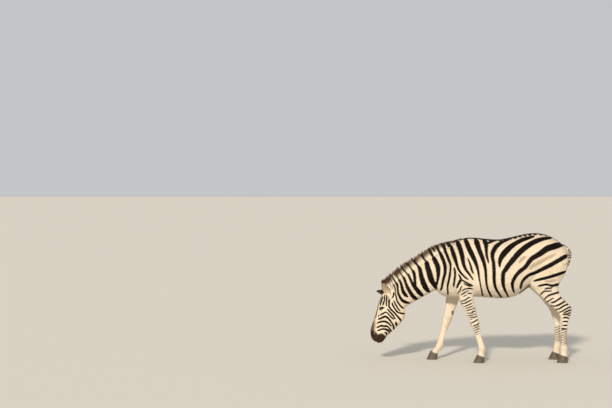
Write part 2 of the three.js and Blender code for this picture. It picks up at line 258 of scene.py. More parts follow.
def turned_outward(mesh):
    """The closed mesh with every face looking outward."""
    form = bmesh.new()
    form.from_mesh(mesh)
    bmesh.ops.recalc_face_normals(form, faces=form.faces)
    form.to_mesh(mesh)
    form.free()
    return mesh


# ---- The skin ----
def welded(node):
    """The closed mesh of a CAD node, a little grown."""
    points, corners, _ = arrays_of(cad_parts[node].data)
    _, first, place = np.unique(np.round(points, 5), axis=0, return_index=True, return_inverse=True)
    points, faces = points[first], place.ravel()[corners].reshape(-1, 3)
    faces = faces[(faces[:, 0] != faces[:, 1]) & (faces[:, 1] != faces[:, 2]) & (faces[:, 2] != faces[:, 0])]
    across = np.cross(points[faces[:, 1]] - points[faces[:, 0]], points[faces[:, 2]] - points[faces[:, 0]])
    normals = np.zeros_like(points)
    for k in range(3):
        np.add.at(normals, faces[:, k], across)
    points = points + unit(normals) * GROWTH * MM
    return make_mesh(node, points, faces.ravel(), np.full(len(faces), 3))


def union(mesh, others):
    """One closed mesh around all of these."""
    for other in others:
        thing, tool = scratch_object(mesh), scratch_object(other)
        join = thing.modifiers.new("join", "BOOLEAN")
        join.operation, join.solver, join.object = "UNION", "MANIFOLD", tool
        mesh = evaluated(thing)
        bpy.data.objects.remove(tool)
    return mesh


def remeshed(mesh, size):
    """The outline of a mesh on an even grid of this size in millimetres."""
    thing = scratch_object(mesh)
    remesh = thing.modifiers.new("remesh", "REMESH")
    remesh.mode, remesh.voxel_size, remesh.use_smooth_shade = "VOXEL", size * MM, True
    return evaluated(thing)


NORMAL_STEPS = 8  # steps of smoothing between two looks at the normals


def relax(mesh, steps, ridge, hollow=1.0):
    """Evens a mesh out. ridge and hollow are how readily bulges sink and hollows fill."""
    points, edges = arrays_of(mesh)[0], edges_of(mesh)
    count = np.bincount(edges.ravel(), minlength=len(points))[:, None]
    for step in range(steps):
        if step % NORMAL_STEPS == 0:
            set_points(mesh, points)
            normals = normals_of(mesh)
        total = np.empty_like(points)
        for k in range(3):
            total[:, k] = np.bincount(edges[:, 0], points[edges[:, 1], k], len(points))
            total[:, k] += np.bincount(edges[:, 1], points[edges[:, 0], k], len(points))
        move = total / count - points
        rises = (move * normals).sum(1) > 0
        points = points + 0.5 * move * np.where(rises, hollow, ridge)[:, None]
    set_points(mesh, points)


def head_place(p):
    """Head coordinates: down the face from the eyes, back from them towards the jaw, and sideways."""
    from_eye = p - EYE * [1, 0, 1]
    return from_eye @ HEAD_DOWN, from_eye @ HEAD_BACK, np.abs(p[:, 1])


TRUNK, NECK, HEAD, FORELEG, HINDLEG, TAIL = range(6)
TAIL_LINE = np.array([(1006, 4, 1171), (1040, 8, 1134), (1046, 22, 1084), (1027, 46, 1014), (999, 82, 941),
                      (967, 120, 878), (934, 155, 818), (917, 186, 757)], float)
TAIL_REACH, TAIL_FRONT = 34, 925
# The tail leaves the rump behind this x, below this height or beyond this y.
RUMP_REAR, RUMP_LOW, RUMP_OUT = 1016, 900, 30
# The planes at the front of the trunk and of the neck: a point (x, z) and the way (x, z) to the front.
NECK_PLANE = (-235, 1010), (-0.925, 0.38)
HEAD_PLANE = (-778, 690), (-0.86, -0.51)
NECK_FRONT = -600
# Where the legs begin: a point of the cut as (x, y, z) and how it climbs with x and y.
FORELEG_CUT, FORELEG_CLIMB = (0, 132, 690), 0.5
FORELEG_FRONT, FORELEG_REAR, FORELEG_INNER = -480, 240, 55
ALL_LEG, ALL_LEG_FRONT = 640, -520  # below this height all behind this x is foreleg
HINDLEG_CUT, HINDLEG_CLIMB, HINDLEG_FRONT = (700, 128, 772), (0.32, 0.22), 560


def ahead_of(p, plane):
    """Which points are ahead of a plane."""
    (x, z), (way_x, way_z) = plane
    return (p[:, 0] - x) * way_x + (p[:, 2] - z) * way_z > 0


def body_part(p):
    """The number of the body's part at each point in body millimetres."""
    x, y, z = p[:, 0], np.abs(p[:, 1]), p[:, 2]
    part = np.full(len(p), TRUNK)
    part[ahead_of(p, NECK_PLANE)] = NECK
    fore_top = FORELEG_CUT[2] + FORELEG_CLIMB * (y - FORELEG_CUT[1])
    foreleg = (z < fore_top) & (x > FORELEG_FRONT) & (y > FORELEG_INNER)
    part[foreleg & (x < FORELEG_REAR)] = FORELEG
    part[(z < ALL_LEG) & (x > ALL_LEG_FRONT) & (x < FORELEG_REAR)] = FORELEG
    hind_top = HINDLEG_CUT[2] + HINDLEG_CLIMB[0] * (x - HINDLEG_CUT[0])
    hind_top = hind_top + HINDLEG_CLIMB[1] * (y - HINDLEG_CUT[1])
    part[(z < hind_top) & (x > HINDLEG_FRONT)] = HINDLEG
    part[ahead_of(p, HEAD_PLANE) & (x < NECK_FRONT)] = HEAD
    tail_gap, _ = near_line(p, TAIL_LINE)
    clear_of_rump = (x > RUMP_REAR) | (z < RUMP_LOW) | (p[:, 1] > RUMP_OUT)
    part[(tail_gap < TAIL_REACH) & (x > TAIL_FRONT) & clear_of_rump] = TAIL
    return part


def leg_line(joints, ys, side):
    """The joints of a leg as (x, y, z)."""
    return np.array([(x, side * y, z) for (x, z), y in zip(joints[side], ys)], float)


# Swells and hollows under the skin of the left side: from, to, radius, height.
MUSCLES = [
    ((-120, -120, 1230), (-235, -190, 930), 30, 5),  # spine of the shoulder blade
    ((40, -190, 1160), (10, -215, 860), 55, -7),  # behind the shoulder
    ((-80, -200, 900), (-40, -210, 820), 60, 6),  # triceps
    ((-290, -140, 900), (-270, -150, 850), 45, 6),  # point of the shoulder
    ((-330, -90, 800), (-300, -60, 700), 40, 5),  # breast
    ((605, -200, 1195), (650, -190, 1160), 45, 6),  # hip bone
    ((530, -250, 1090), (500, -255, 1010), 65, -8),  # hollow of the flank
    ((630, -190, 900), (650, -190, 830), 55, 6),  # stifle
    ((900, -165, 1110), (860, -165, 790), 20, -5),  # between the thigh muscles
    ((780, -190, 1130), (760, -200, 960), 80, 4),  # thigh
    ((-740, -80, 640), (-340, -110, 800), 24, -4),  # jugular groove
    ((-760, -75, 740), (-300, -130, 980), 42, 4),  # side of the neck
    ((780, -90, 1300), (700, -100, 1320), 70, 3),  # rump
]
# Ribs: from, to, how far back each of these two moves from one rib to the next, and radius and height.
RIBS = 9
RIB_TOP, RIB_FOOT, RIB_STEPS, RIB_SIZE = (130, -225, 1130), (95, -225, 800), (48, 52), (13, 1.3)
# The knee's bones from its joint: ahead, up, radius, height.
KNEE_FORMS = [(-34, 8, 20, 3), (38, 6, 13, 4), (-30, -26, 12, 2)]
# The hock's tendon and the hollow beside it, from its joint: from, to, radius, height.
HOCK_FORMS = [((64, 0, 22), (-10, 0, 110), 14, 3.0), ((28, 34, 60), (-10, 44, 130), 22, -7.0)]
# The grooves beside the tendons of the cannons: how far out and back from the bone, how far from the joints
# they end, radius and height.
FORE_CANNON, HIND_CANNON = 26, 28
GROOVE_OUT, GROOVE_BACK, GROOVE_TOP, GROOVE_FOOT, GROOVE_SIZE = 0.8, 6, 60, 34, (8, -3.0)


def sculpt_body(mesh):
    """Muscles, ribs, joints and tendons, and the whole skin sunk by the depth of the coat."""
    points = arrays_of(mesh)[0]
    normals = normals_of(mesh)
    p = body_mm(points)
    height = np.zeros(len(p))
    forms = list(MUSCLES)
    for k in range(RIBS):
        rib = np.array([RIB_TOP, RIB_FOOT])
        rib[:, 0] += np.array(RIB_STEPS) * k
        forms.append((*rib, *RIB_SIZE))
    for start, end, radius, rise in forms:
        for mirror in (1, -1):
            gap, _ = near_line(p, np.array([start, end]) * [1, mirror, 1])
            height += swell(gap, radius, rise)
    # Bony joints and tendons of the legs.
    for side in (LEFT, RIGHT):
        fore, hind = leg_line(FORE_JOINTS, FORE_Y, side), leg_line(HIND_JOINTS, HIND_Y, side)
        for top, low, thick in ((*fore[1:3], FORE_CANNON), (*hind[1:3], HIND_CANNON)):
            down = unit(low - top)
            ahead = unit(np.cross([0, 1, 0], down)) * np.sign(np.cross([0, 1, 0], down)[0]) * -1
            for across in (-1, 1):
                offset = np.array([0, across * thick * GROOVE_OUT, 0])
                start = top + down * GROOVE_TOP - ahead * GROOVE_BACK + offset
                end = low - down * GROOVE_FOOT - ahead * GROOVE_BACK + offset
                height += swell(near_line(p, [start, end])[0], *GROOVE_SIZE)
        for ahead, up, radius, rise in KNEE_FORMS:
            gap = np.linalg.norm(p - (fore[1] + [ahead, 0, up]), axis=1)
            height += swell(gap, radius, rise)
        for start, end, radius, rise in HOCK_FORMS:
            line = hind[1] + np.array([start, end]) * [1, side, 1]
            height += swell(near_line(p, line)[0], radius, rise)
    down, _, _ = head_place(p)
    on_head = smoothstep(-230, -150, down) * (p[:, 0] < HEAD_REAR)
    on_leg = smoothstep(700, 560, p[:, 2]) * (p[:, 0] > BREAST_FRONT)
    depth = COAT_DEPTHS["trunk"] + (COAT_DEPTHS["leg"] - COAT_DEPTHS["trunk"]) * on_leg
    depth = depth + (COAT_DEPTHS["head"] - COAT_DEPTHS["trunk"]) * on_head
    set_points(mesh, points + normals * (height - depth)[:, None] * MM)


def refine(mesh, chosen):
    """Halves the edges that have both their points chosen."""
    form = bmesh.new()
    form.from_mesh(mesh)
    form.verts.ensure_lookup_table()
    edges = [e for e in form.edges if chosen[e.verts[0].index] and chosen[e.verts[1].index]]
    bmesh.ops.subdivide_edges(form, edges=edges, cuts=1, use_grid_fill=True)
    form.to_mesh(mesh)
    form.free()
    mesh.update()


# Forms of the head, from and to as (down, back), distance from the middle plane, radius and height.
HEAD_FORMS = [
    ((-26, -22), (14, -30), 82, 18, 5),  # brow
    ((-60, 8), (-48, 20), 84, 18, -5),  # hollow above the eye
    ((24, 34), (70, 48), 92, 14, 4),  # cheek bone
    ((70, 48), (170, 52), 72, 11, 3.5),  # facial crest
    ((70, 8), (190, 18), 66, 24, -4),  # beside the nose
    ((40, 120), (70, 170), 78, 62, 5),  # cheek
    ((70, 225), (-30, 235), 50, 22, 3),  # edge of the jaw
    ((230, 150), (170, 175), 30, 20, -4),  # between the jaws
    ((318, 45), (330, 60), 34, 26, 3),  # upper lip
    ((322, 122), (332, 116), 18, 20, 4),  # chin
    ((262, 10), (300, 26), 34, 16, 4),  # rim of the nostril
]
NOSTRIL = [(258, 12), (276, 16), (292, 24), (300, 36)]
MOUTH = [(356, 86), (330, 88), (300, 94), (268, 102), (246, 112)]
NOSTRIL_TOP, NOSTRIL_SIDE, MOUTH_TOP = 230, 12, 225  # no point of them is higher, or nearer to the middle
LIP_GROOVE, LIP_ROLL, LIP_ROLL_GAP = (2.6, -4.5), (6, 2.0), 9  # (radius, height), and the roll's place
NOSTRIL_HALF, NOSTRIL_WIDENING, NOSTRIL_DEPTH = 3.0, 3.5, 15
NOSTRIL_EDGE, NOSTRIL_RIM, NOSTRIL_RIM_GAP = 2.5, (4, 3.0), 5
LID_HALF = np.array([19.5, 10.5])  # half the opening, along and across
LID_TILT = math.radians(24)  # the front corner is lower than the rear one
LID_BOW = 3.0  # the upper lid arches more than the lower by this much
EYE_AREA, EYE_BACK = 60, -14  # how far the lids reach from the eye's centre, and how far back past it
LID_THICK, LID_SUNK = 1.6, 5  # of the lids over the eyeball, and of the skin behind it
# The lids' rounded edge and the fold over the upper lid: place and radius as shares of the opening, height.
LID_ROLL, LID_FOLD = (1.18, 0.16, 1.6), (1.62, 0.12, -2.2)


def openings(place):
    """Distances to the line between the lips and to the nostril, each with the share of the way along it."""
    flat = place * [1, 1, 0]
    mouth = near_line(flat, curve([(*point, 0) for point in MOUTH]))
    nostril = near_line(flat, curve([(*point, 0) for point in NOSTRIL]))
    return mouth, nostril


def eye_plane(p):
    """For each point: its share of the way to the edge of the eye's opening, and from the eye's centre its
    distance, its place, and how far ahead, along and above it is."""
    q = p * [1, 0, 1] + np.abs(p) * [0, 1, 0] - EYE
    look = unit(EYE_LOOK)
    long = unit(np.cross([0, 0, 1], look))
    long = unit(long * math.cos(LID_TILT) - np.array([0, 0, 1]) * math.sin(LID_TILT))
    long = unit(long - look * (long @ look))
    high = np.cross(look, long)
    a, b = q @ long, q @ high
    bow = b - LID_BOW * (1 - (a / LID_HALF[0]) ** 2)
    edge = np.sqrt((a / LID_HALF[0]) ** 2 + (bow / LID_HALF[1]) ** 2)
    return edge, np.linalg.norm(q, axis=1), q, q @ look, a, b


def sculpt_head(mesh):
    """The bones of the face, the lips, the nostrils and the eyelids."""
    points = arrays_of(mesh)[0]
    normals = normals_of(mesh)
    p = body_mm(points)
    down, back, side = head_place(p)
    on_head = (down > -190) & (p[:, 0] < HEAD_REAR)
    place = np.stack([down, back, side], 1)
    height = np.zeros(len(p))
    for start, end, out, radius, rise in HEAD_FORMS:
        gap, _ = near_line(place, [(*start, out), (*end, out)])
        height += swell(gap, radius, rise)
    (gap, along), nostril = openings(place)
    height += swell(gap, *LIP_GROOVE) * smoothstep(1.0, 0.86, along)
    height += swell(gap - LIP_ROLL_GAP, *LIP_ROLL)
    gap, along = nostril
    width = NOSTRIL_HALF + NOSTRIL_WIDENING * along
    facing = smoothstep(12, 20, side)
    height -= NOSTRIL_DEPTH * smoothstep(width + NOSTRIL_EDGE, width - NOSTRIL_EDGE, gap) * facing
    height += swell(gap - width - NOSTRIL_RIM_GAP, *NOSTRIL_RIM) * facing
    points = points + normals * (height * on_head)[:, None] * MM
    # Lids: the skin wraps the eyeball round its opening and dives behind it within.
    p = body_mm(points)
    edge, reach, q, ahead, _, above = eye_plane(p)
    close = (reach < EYE_AREA) & (ahead > EYE_BACK) & on_head
    lid = EYE_RADIUS + LID_THICK + swell(edge - LID_ROLL[0], *LID_ROLL[1:])
    sunk = EYE_RADIUS - LID_SUNK
    wanted = np.where(edge < 1, sunk + (lid - sunk) * smoothstep(0.90, 1.02, edge), lid)
    hold = smoothstep(1.95, 1.25, edge) * close
    fold = swell(edge - LID_FOLD[0], *LID_FOLD[1:]) * smoothstep(-4, 8, above) * close
    moved = unit(q) * wanted[:, None]
    target = p + (moved - q) * np.where(p[:, 1:2] < 0, [1, -1, 1], [1, 1, 1])
    p = p + (target - p) * hold[:, None]
    set_points(mesh, metres(p) + normals * (fold * (1 - hold))[:, None] * MM)


# ---- Ears ----
EAR_LENGTH, EAR_HALF = 170.0, 41.0
EAR_WALL, EAR_TIP_WALL = 5.0, 2.2
EAR_ARC_ROOT, EAR_ARC_TIP = 118, 62  # half the arc that the ear's leaf makes, in degrees
EARS = {
    LEFT: dict(root=(-870, -60, 694), axis=(-75, -45, 152), mouth=(-0.5, -0.8, -0.1)),
    RIGHT: dict(root=(-870, 60, 694), axis=(-112, 122, 24), mouth=(-0.72, -0.3, -0.62)),
}
EAR_RINGS, EAR_STEPS = 44, 20  # rings up the ear, and steps from its middle to its edge


def ear_frame(side):
    """The root of an ear, and its ways up, out of its mouth and across."""
    ear = EARS[side]
    long = unit(np.array(ear["axis"], float))
    mouth = np.array(ear["mouth"], float)
    mouth = unit(mouth - long * (mouth @ long))
    return np.array(ear["root"], float), long, mouth, np.cross(long, mouth)


def ear_profile(up):
    """This share of the way up an ear: half its arc, radius, wall and how far forward its centre is."""
    share = np.clip(up, 0, 1)
    fill = np.abs(np.sin(math.pi * np.minimum(1, 0.22 + 0.78 * share) ** 1.25)) ** 0.75
    arc = np.radians(EAR_ARC_ROOT + (EAR_ARC_TIP - EAR_ARC_ROOT) * share**0.6)
    radius = (np.maximum(EAR_HALF * fill, 1.6) - 1.0) / np.sin(np.minimum(arc, math.pi / 2))
    wall = np.minimum(EAR_WALL + (EAR_TIP_WALL - EAR_WALL) * share, radius * 0.6)
    return arc, radius, wall, radius * np.maximum(np.cos(arc), 0)


def ear_mesh(side):
    """A cupped leaf with a rolled edge, closed at its root, in body millimetres."""
    root, long, mouth, wide = ear_frame(side)
    rings = []
    for t in np.linspace(-0.06, 1, EAR_RINGS):
        arc, radius, wall, forward = ear_profile(t)
        middle = root + long * t * EAR_LENGTH + mouth * forward
        curl = 1 + 0.10 * math.sin(math.pi * max(t, 0))
        ring = []
        angles = np.linspace(-1, 1, 2 * EAR_STEPS + 1)
        for angle in angles:
            edge = 1 - 0.06 * (abs(angle) > 0.93) * curl
            at = arc * angle
            ring.append(middle + wide * math.sin(at) * radius * edge - mouth * math.cos(at) * radius * edge)
        for angle in angles[::-1]:
            at = arc * angle * 0.985
            inner = radius - wall * (1 - 0.45 * abs(angle) ** 6)
            ring.append(middle + wide * math.sin(at) * inner - mouth * math.cos(at) * inner)
        rings.append(ring)
    points = np.array(rings)
    count, around = points.shape[:2]
    faces = []
    for r in range(count - 1):
        for k in range(around):
            a, b = r * around + k, r * around + (k + 1) % around
            faces.append((a, b, b + around, a + around))
    for start, turned in ((0, True), ((count - 1) * around, False)):
        for k in range(around // 2 - 1):
            quad = (start + k, start + k + 1, start + around - 2 - k, start + around - 1 - k)
            faces.append(quad[::-1] if turned else quad)
    faces = np.array(faces)
    flat = metres(points.reshape(-1, 3))
    return turned_outward(make_mesh("ear", flat, faces.ravel(), np.full(len(faces), 4)))


def near_ear(p):
    """For each point: the share of the way up the nearer ear, 0 off the ears, and how far it is inside and on
    the rim, from 0 to 1."""
    share, inner, rim = np.zeros((3, len(p)))
    for side in (LEFT, RIGHT):
        root, long, mouth, wide = ear_frame(side)
        q = p - root
        up = q @ long / EAR_LENGTH
        arc, radius, wall, forward = ear_profile(up)
        over, out = q @ wide, q @ mouth - forward
        on = (up > 0.10) & (up < 1.1) & (np.hypot(over, q @ mouth - 12) < 50)
        turned = np.abs(np.arctan2(over, -out)) / arc
        share = np.where(on, np.clip(up, 0, 1), share)
        inner = np.where(on, smoothstep(0.2, 0.8, (radius - np.hypot(over, out)) / wall), inner)
        rim = np.where(on, smoothstep(0.86, 0.97, turned), rim)
    return share, inner, rim


# ---- Stripes: centre lines of the left side as (x, z, half width) in millimetres ----
HEAD_STRIPES = [
    [(-942, 704, 6), (-955, 670, 7), (-968, 640, 6), (-977, 617, 5), (-984, 594, 3)],
    [(-934, 696, 4), (-941, 668, 6), (-950, 636, 5), (-957, 610, 4), (-959, 592, 4)],
    [(-908, 716, 3), (-917, 682, 4), (-917, 650, 4), (-923, 632, 5), (-928, 612, 6), (-934, 594, 5)],
    [(-893, 706, 3), (-896, 667, 5), (-897, 640, 4), (-896, 610, 5), (-898, 584, 3)],
    [(-875, 688, 1), (-879, 655, 1), (-877, 622, 0)],
    [(-857, 664, 3), (-866, 638, 4), (-868, 607, 6), (-870, 581, 6), (-860, 568, 6), (-844, 548, 6),
     (-830, 533, 6), (-814, 519, 6), (-798, 500, 6), (-781, 481, 6), (-768, 466, 7), (-753, 450, 8),
     (-746, 428, 8)],
    [(-834, 626, 4), (-833, 604, 6), (-823, 584, 6), (-811, 565, 5), (-798, 545, 6), (-788, 530, 6),
     (-768, 519, 5), (-749, 513, 6), (-726, 509, 7), (-705, 505, 7)],
    [(-820, 648, 3), (-808, 622, 4), (-797, 600, 5), (-790, 588, 5), (-778, 565, 4), (-765, 548, 5),
     (-750, 535, 3)],
    [(-876, 862, 5), (-867, 840, 4), (-857, 816, 4), (-853, 798, 4), (-843, 784, 4), (-829, 773, 5)],
    [(-858, 868, 4), (-849, 854, 4), (-839, 836, 4), (-828, 816, 4), (-814, 795, 6), (-807, 776, 4),
     (-805, 750, 3), (-803, 725, 3), (-799, 700, 4), (-793, 680, 5), (-790, 662, 5), (-787, 645, 5),
     (-778, 630, 6), (-765, 611, 6), (-749, 588, 6), (-732, 572, 7), (-714, 564, 7)],
    [(-890, 556, 3), (-875, 545, 5), (-862, 529, 5), (-849, 514, 5), (-834, 498, 6), (-822, 484, 5),
     (-811, 466, 4), (-803, 450, 3)],
    [(-965, 490, 4), (-953, 500, 5), (-935, 508, 5), (-916, 518, 5), (-902, 524, 4), (-887, 517, 3),
     (-877, 505, 4), (-864, 490, 4), (-849, 475, 5), (-834, 460, 5), (-815, 448, 3)],
    [(-984, 446, 5), (-968, 454, 6), (-950, 460, 7), (-935, 469, 7), (-916, 478, 8), (-900, 475, 8),
     (-882, 464, 8), (-868, 448, 7), (-853, 430, 6), (-838, 408, 5), (-825, 385, 6), (-819, 359, 8),
     (-817, 334, 6)],
    [(-995, 405, 4), (-980, 415, 5), (-961, 421, 7), (-942, 426, 6), (-925, 427, 7), (-908, 426, 8),
     (-894, 419, 8), (-876, 408, 7), (-862, 395, 4), (-853, 385, 6), (-843, 373, 3)],
    [(-999, 361, 5), (-983, 368, 6), (-968, 376, 6), (-953, 380, 8), (-942, 381, 8), (-926, 377, 7),
     (-897, 378, 8), (-882, 370, 5), (-868, 359, 5), (-856, 340, 6), (-846, 322, 6), (-840, 308, 4)],
    [(-990, 327, 5), (-968, 337, 6), (-953, 344, 5), (-931, 348, 7), (-916, 347, 7), (-900, 343, 8),
     (-886, 336, 9), (-871, 325, 8), (-866, 307, 5), (-868, 284, 3)],
    [(-917, 311, 5), (-901, 310, 6), (-893, 296, 7), (-898, 280, 5)],
    [(-793, 423, 6), (-796, 401, 11), (-787, 380, 8)],
    [(-823, 730, 4), (-821, 708, 6), (-825, 688, 5), (-841, 671, 4)],
    [(-980, 494, 4), (-978, 474, 4)],
]
NECK_STRIPES = [
    [(-876, 862, 3), (-867, 840, 3), (-857, 816, 3), (-853, 798, 3), (-843, 784, 3), (-829, 773, 3)],
    [(-858, 868, 3), (-849, 854, 3), (-839, 836, 3), (-828, 816, 3), (-814, 795, 4)],
    [(-839, 889, 5), (-825, 872, 6), (-811, 854, 7), (-797, 833, 8), (-785, 812, 9), (-780, 790, 8),
     (-779, 756, 7), (-774, 725, 8), (-765, 700, 9), (-755, 680, 10), (-743, 660, 11), (-722, 640, 13),
     (-700, 631, 13), (-678, 624, 9), (-650, 619, 5)],
    [(-818, 926, 4), (-799, 908, 5), (-780, 884, 6), (-760, 854, 8), (-745, 828, 10), (-739, 800, 12),
     (-732, 775, 13), (-726, 750, 14), (-712, 722, 15), (-694, 700, 15), (-674, 684, 10)],
    [(-753, 934, 5), (-734, 908, 6), (-716, 884, 8), (-706, 860, 11), (-698, 838, 11), (-686, 802, 13),
     (-667, 764, 15), (-643, 722, 16), (-622, 694, 17), (-598, 672, 17), (-566, 658, 8)],
    [(-708, 953, 6), (-688, 938, 7), (-672, 918, 8), (-658, 895, 10), (-646, 866, 10), (-634, 840, 10),
     (-620, 812, 14), (-602, 790, 17), (-583, 765, 19), (-560, 736, 20), (-538, 714, 18), (-510, 691, 10)],
    [(-658, 1005, 6), (-639, 981, 8), (-625, 960, 10), (-611, 938, 12), (-605, 915, 13), (-602, 885, 13),
     (-600, 855, 11), (-597, 825, 12), (-590, 795, 14)],
    [(-580, 1022, 9), (-562, 999, 12), (-549, 978, 15), (-542, 950, 18), (-536, 915, 20), (-528, 880, 22),
     (-516, 845, 24), (-505, 815, 25), (-490, 785, 24), (-470, 757, 20), (-443, 734, 10)],
    [(-488, 1056, 12), (-476, 1038, 20), (-470, 1008, 23), (-462, 976, 25), (-452, 942, 26), (-441, 905, 27),
     (-431, 872, 27), (-416, 838, 23), (-398, 812, 19), (-383, 790, 18), (-372, 763, 11)],
    [(-410, 1106, 12), (-396, 1078, 20), (-385, 1053, 22), (-369, 1023, 22), (-359, 990, 22), (-355, 955, 20),
     (-355, 920, 16), (-356, 890, 12), (-362, 860, 11), (-369, 830, 10), (-377, 800, 11)],
    [(-338, 1148, 10), (-325, 1118, 15), (-309, 1083, 16), (-298, 1055, 16), (-288, 1022, 15),
     (-283, 985, 14), (-283, 945, 12), (-288, 912, 11), (-299, 878, 10), (-308, 842, 9), (-314, 800, 9),
     (-320, 775, 8), (-330, 750, 7)],
    [(-300, 1232, 10), (-291, 1198, 13), (-282, 1160, 12), (-268, 1130, 12), (-256, 1098, 12),
     (-245, 1068, 12), (-232, 1040, 10), (-225, 1008, 7), (-229, 960, 7), (-236, 900, 8), (-247, 845, 8),
     (-256, 810, 7), (-258, 775, 6), (-254, 740, 5), (-256, 698, 4)],
    [(-188, 981, 6), (-177, 931, 8), (-188, 848, 8), (-196, 787, 6)],
    [(-138, 909, 5), (-116, 870, 8), (-138, 826, 7), (-160, 776, 5)],
]
# The dark bands of the upright mane, from the neck to the tips.
MANE_STRIPES = [
    [(-839, 889, 4), (-862, 912, 4)],
    [(-806, 916, 4), (-836, 944, 4)],
    [(-753, 934, 5), (-768, 958, 6), (-784, 982, 8)],
    [(-706, 951, 6), (-728, 972, 6), (-756, 1000, 6)],
    [(-652, 998, 6), (-678, 1020, 9), (-706, 1040, 8)],
    [(-578, 1018, 9), (-603, 1055, 8), (-628, 1086, 7)],
    [(-500, 1070, 9), (-525, 1110, 8), (-548, 1141, 8)],
    [(-412, 1104, 9), (-434, 1150, 8), (-449, 1188, 8)],
    [(-388, 1156, 3), (-419, 1196, 7)],
    [(-336, 1146, 10), (-357, 1182, 9), (-367, 1230, 8)],
    [(-286, 1178, 12), (-296, 1215, 11), (-306, 1250, 9)],
    [(-226, 1180, 14), (-245, 1235, 12), (-258, 1262, 8)],
    [(-170, 1240, 22), (-196, 1288, 16)],
]
TRUNK_STRIPES = [
    [(-245, 1235, 14), (-225, 1170, 20), (-200, 1100, 20), (-183, 1040, 14), (-160, 976, 11), (-130, 935, 9),
     (-90, 895, 8), (-60, 875, 5)],
    [(-184, 1288, 18), (-160, 1229, 25), (-136, 1164, 23), (-122, 1105, 22), (-113, 1041, 17), (-89, 982, 14),
     (-54, 935, 10), (-7, 870, 5)],
    [(-98, 1305, 18), (-78, 1252, 22), (-54, 1194, 25), (-7, 1099, 23), (34, 999, 13), (50, 899, 8),
     (69, 799, 6), (86, 717, 8), (98, 672, 6)],
    [(-69, 1099, 4), (-42, 1035, 9), (-25, 970, 10), (-7, 935, 5)],
    [(8, 1299, 32), (28, 1252, 27), (46, 1194, 23), (84, 1099, 20), (114, 999, 15), (122, 899, 12),
     (131, 799, 9), (166, 723, 9), (178, 694, 10), (190, 664, 8)],
    [(92, 1300, 24), (106, 1272, 25), (121, 1240, 22), (123, 1200, 17), (126, 1150, 13), (130, 1112, 12),
     (140, 1080, 9), (148, 1043, 5)],
    [(126, 1242, 12), (152, 1256, 11), (182, 1270, 12), (215, 1286, 12), (262, 1295, 8)],
    [(364, 1290, 8), (305, 1270, 12), (262, 1246, 18), (222, 1212, 23), (197, 1170, 23), (187, 1132, 21),
     (189, 1100, 17), (200, 1041, 17), (205, 958, 17), (205, 882, 16), (216, 799, 13), (252, 735, 10),
     (281, 694, 8), (300, 664, 6)],
    [(622, 1324, 9), (576, 1309, 14), (522, 1294, 18), (476, 1276, 20), (416, 1243, 22), (360, 1201, 28),
     (308, 1147, 30), (272, 1092, 24), (262, 1041, 15), (264, 1003, 6)],
    [(366, 668, 4), (350, 700, 6), (340, 723, 8), (305, 794, 14), (296, 870, 20), (299, 946, 20),
     (328, 982, 24), (352, 1023, 24), (402, 1082, 27), (450, 1139, 28), (508, 1193, 28), (556, 1228, 27),
     (601, 1255, 25), (647, 1275, 24), (695, 1292, 20), (758, 1304, 15), (800, 1304, 10)],
    [(416, 735, 6), (396, 788, 12), (393, 841, 16), (411, 882, 17), (440, 929, 18), (481, 970, 20),
     (528, 1005, 20), (559, 1050, 22), (592, 1092, 24), (637, 1119, 25), (680, 1143, 27), (722, 1176, 30),
     (760, 1199, 31), (800, 1211, 32), (840, 1224, 32), (880, 1232, 26), (920, 1230, 12)],
    [(476, 775, 8), (483, 818, 12), (500, 863, 13), (531, 897, 14), (567, 925, 15), (622, 943, 16),
     (676, 970, 18), (731, 997, 20), (785, 1025, 21), (840, 1056, 21), (895, 1088, 21), (940, 1115, 20),
     (972, 1129, 14)],
    [(-160, 929, 4), (-142, 882, 6), (-95, 852, 7), (-54, 829, 8), (-13, 811, 8)],
    [(-142, 880, 8), (-166, 835, 7), (-184, 788, 5)],
    [(-107, 835, 5), (-66, 814, 6), (-31, 805, 5)],
]
RUMP_STRIPES = [
    [(613, 856, 6), (658, 870, 11), (713, 884, 13), (767, 897, 14), (826, 915, 15), (872, 929, 15),
     (931, 952, 11), (985, 966, 8), (1030, 972, 5)],
    [(663, 806, 7), (695, 815, 9), (758, 825, 9), (799, 811, 10), (849, 818, 12), (890, 831, 11),
     (930, 838, 8), (965, 840, 5)],
    [(685, 715, 5), (708, 738, 7), (731, 756, 7), (767, 754, 5), (804, 759, 4)],
    [(731, 775, 5), (758, 786, 7), (795, 784, 6), (813, 797, 5)],
    [(731, 670, 5), (749, 693, 6), (785, 715, 8), (831, 729, 9), (876, 743, 8), (920, 754, 6)],
]
SHADOW_STRIPES = [
    [(467, 1052, 8), (499, 1088, 13), (531, 1111, 8)],
    [(576, 984, 6), (608, 1015, 11), (667, 1047, 12), (722, 1075, 12), (758, 1097, 12), (804, 1115, 11),
     (840, 1138, 6)],
    [(735, 856, 5), (785, 856, 8), (840, 870, 6)],
    [(940, 1028, 6), (968, 1040, 11), (990, 1046, 6)],
]
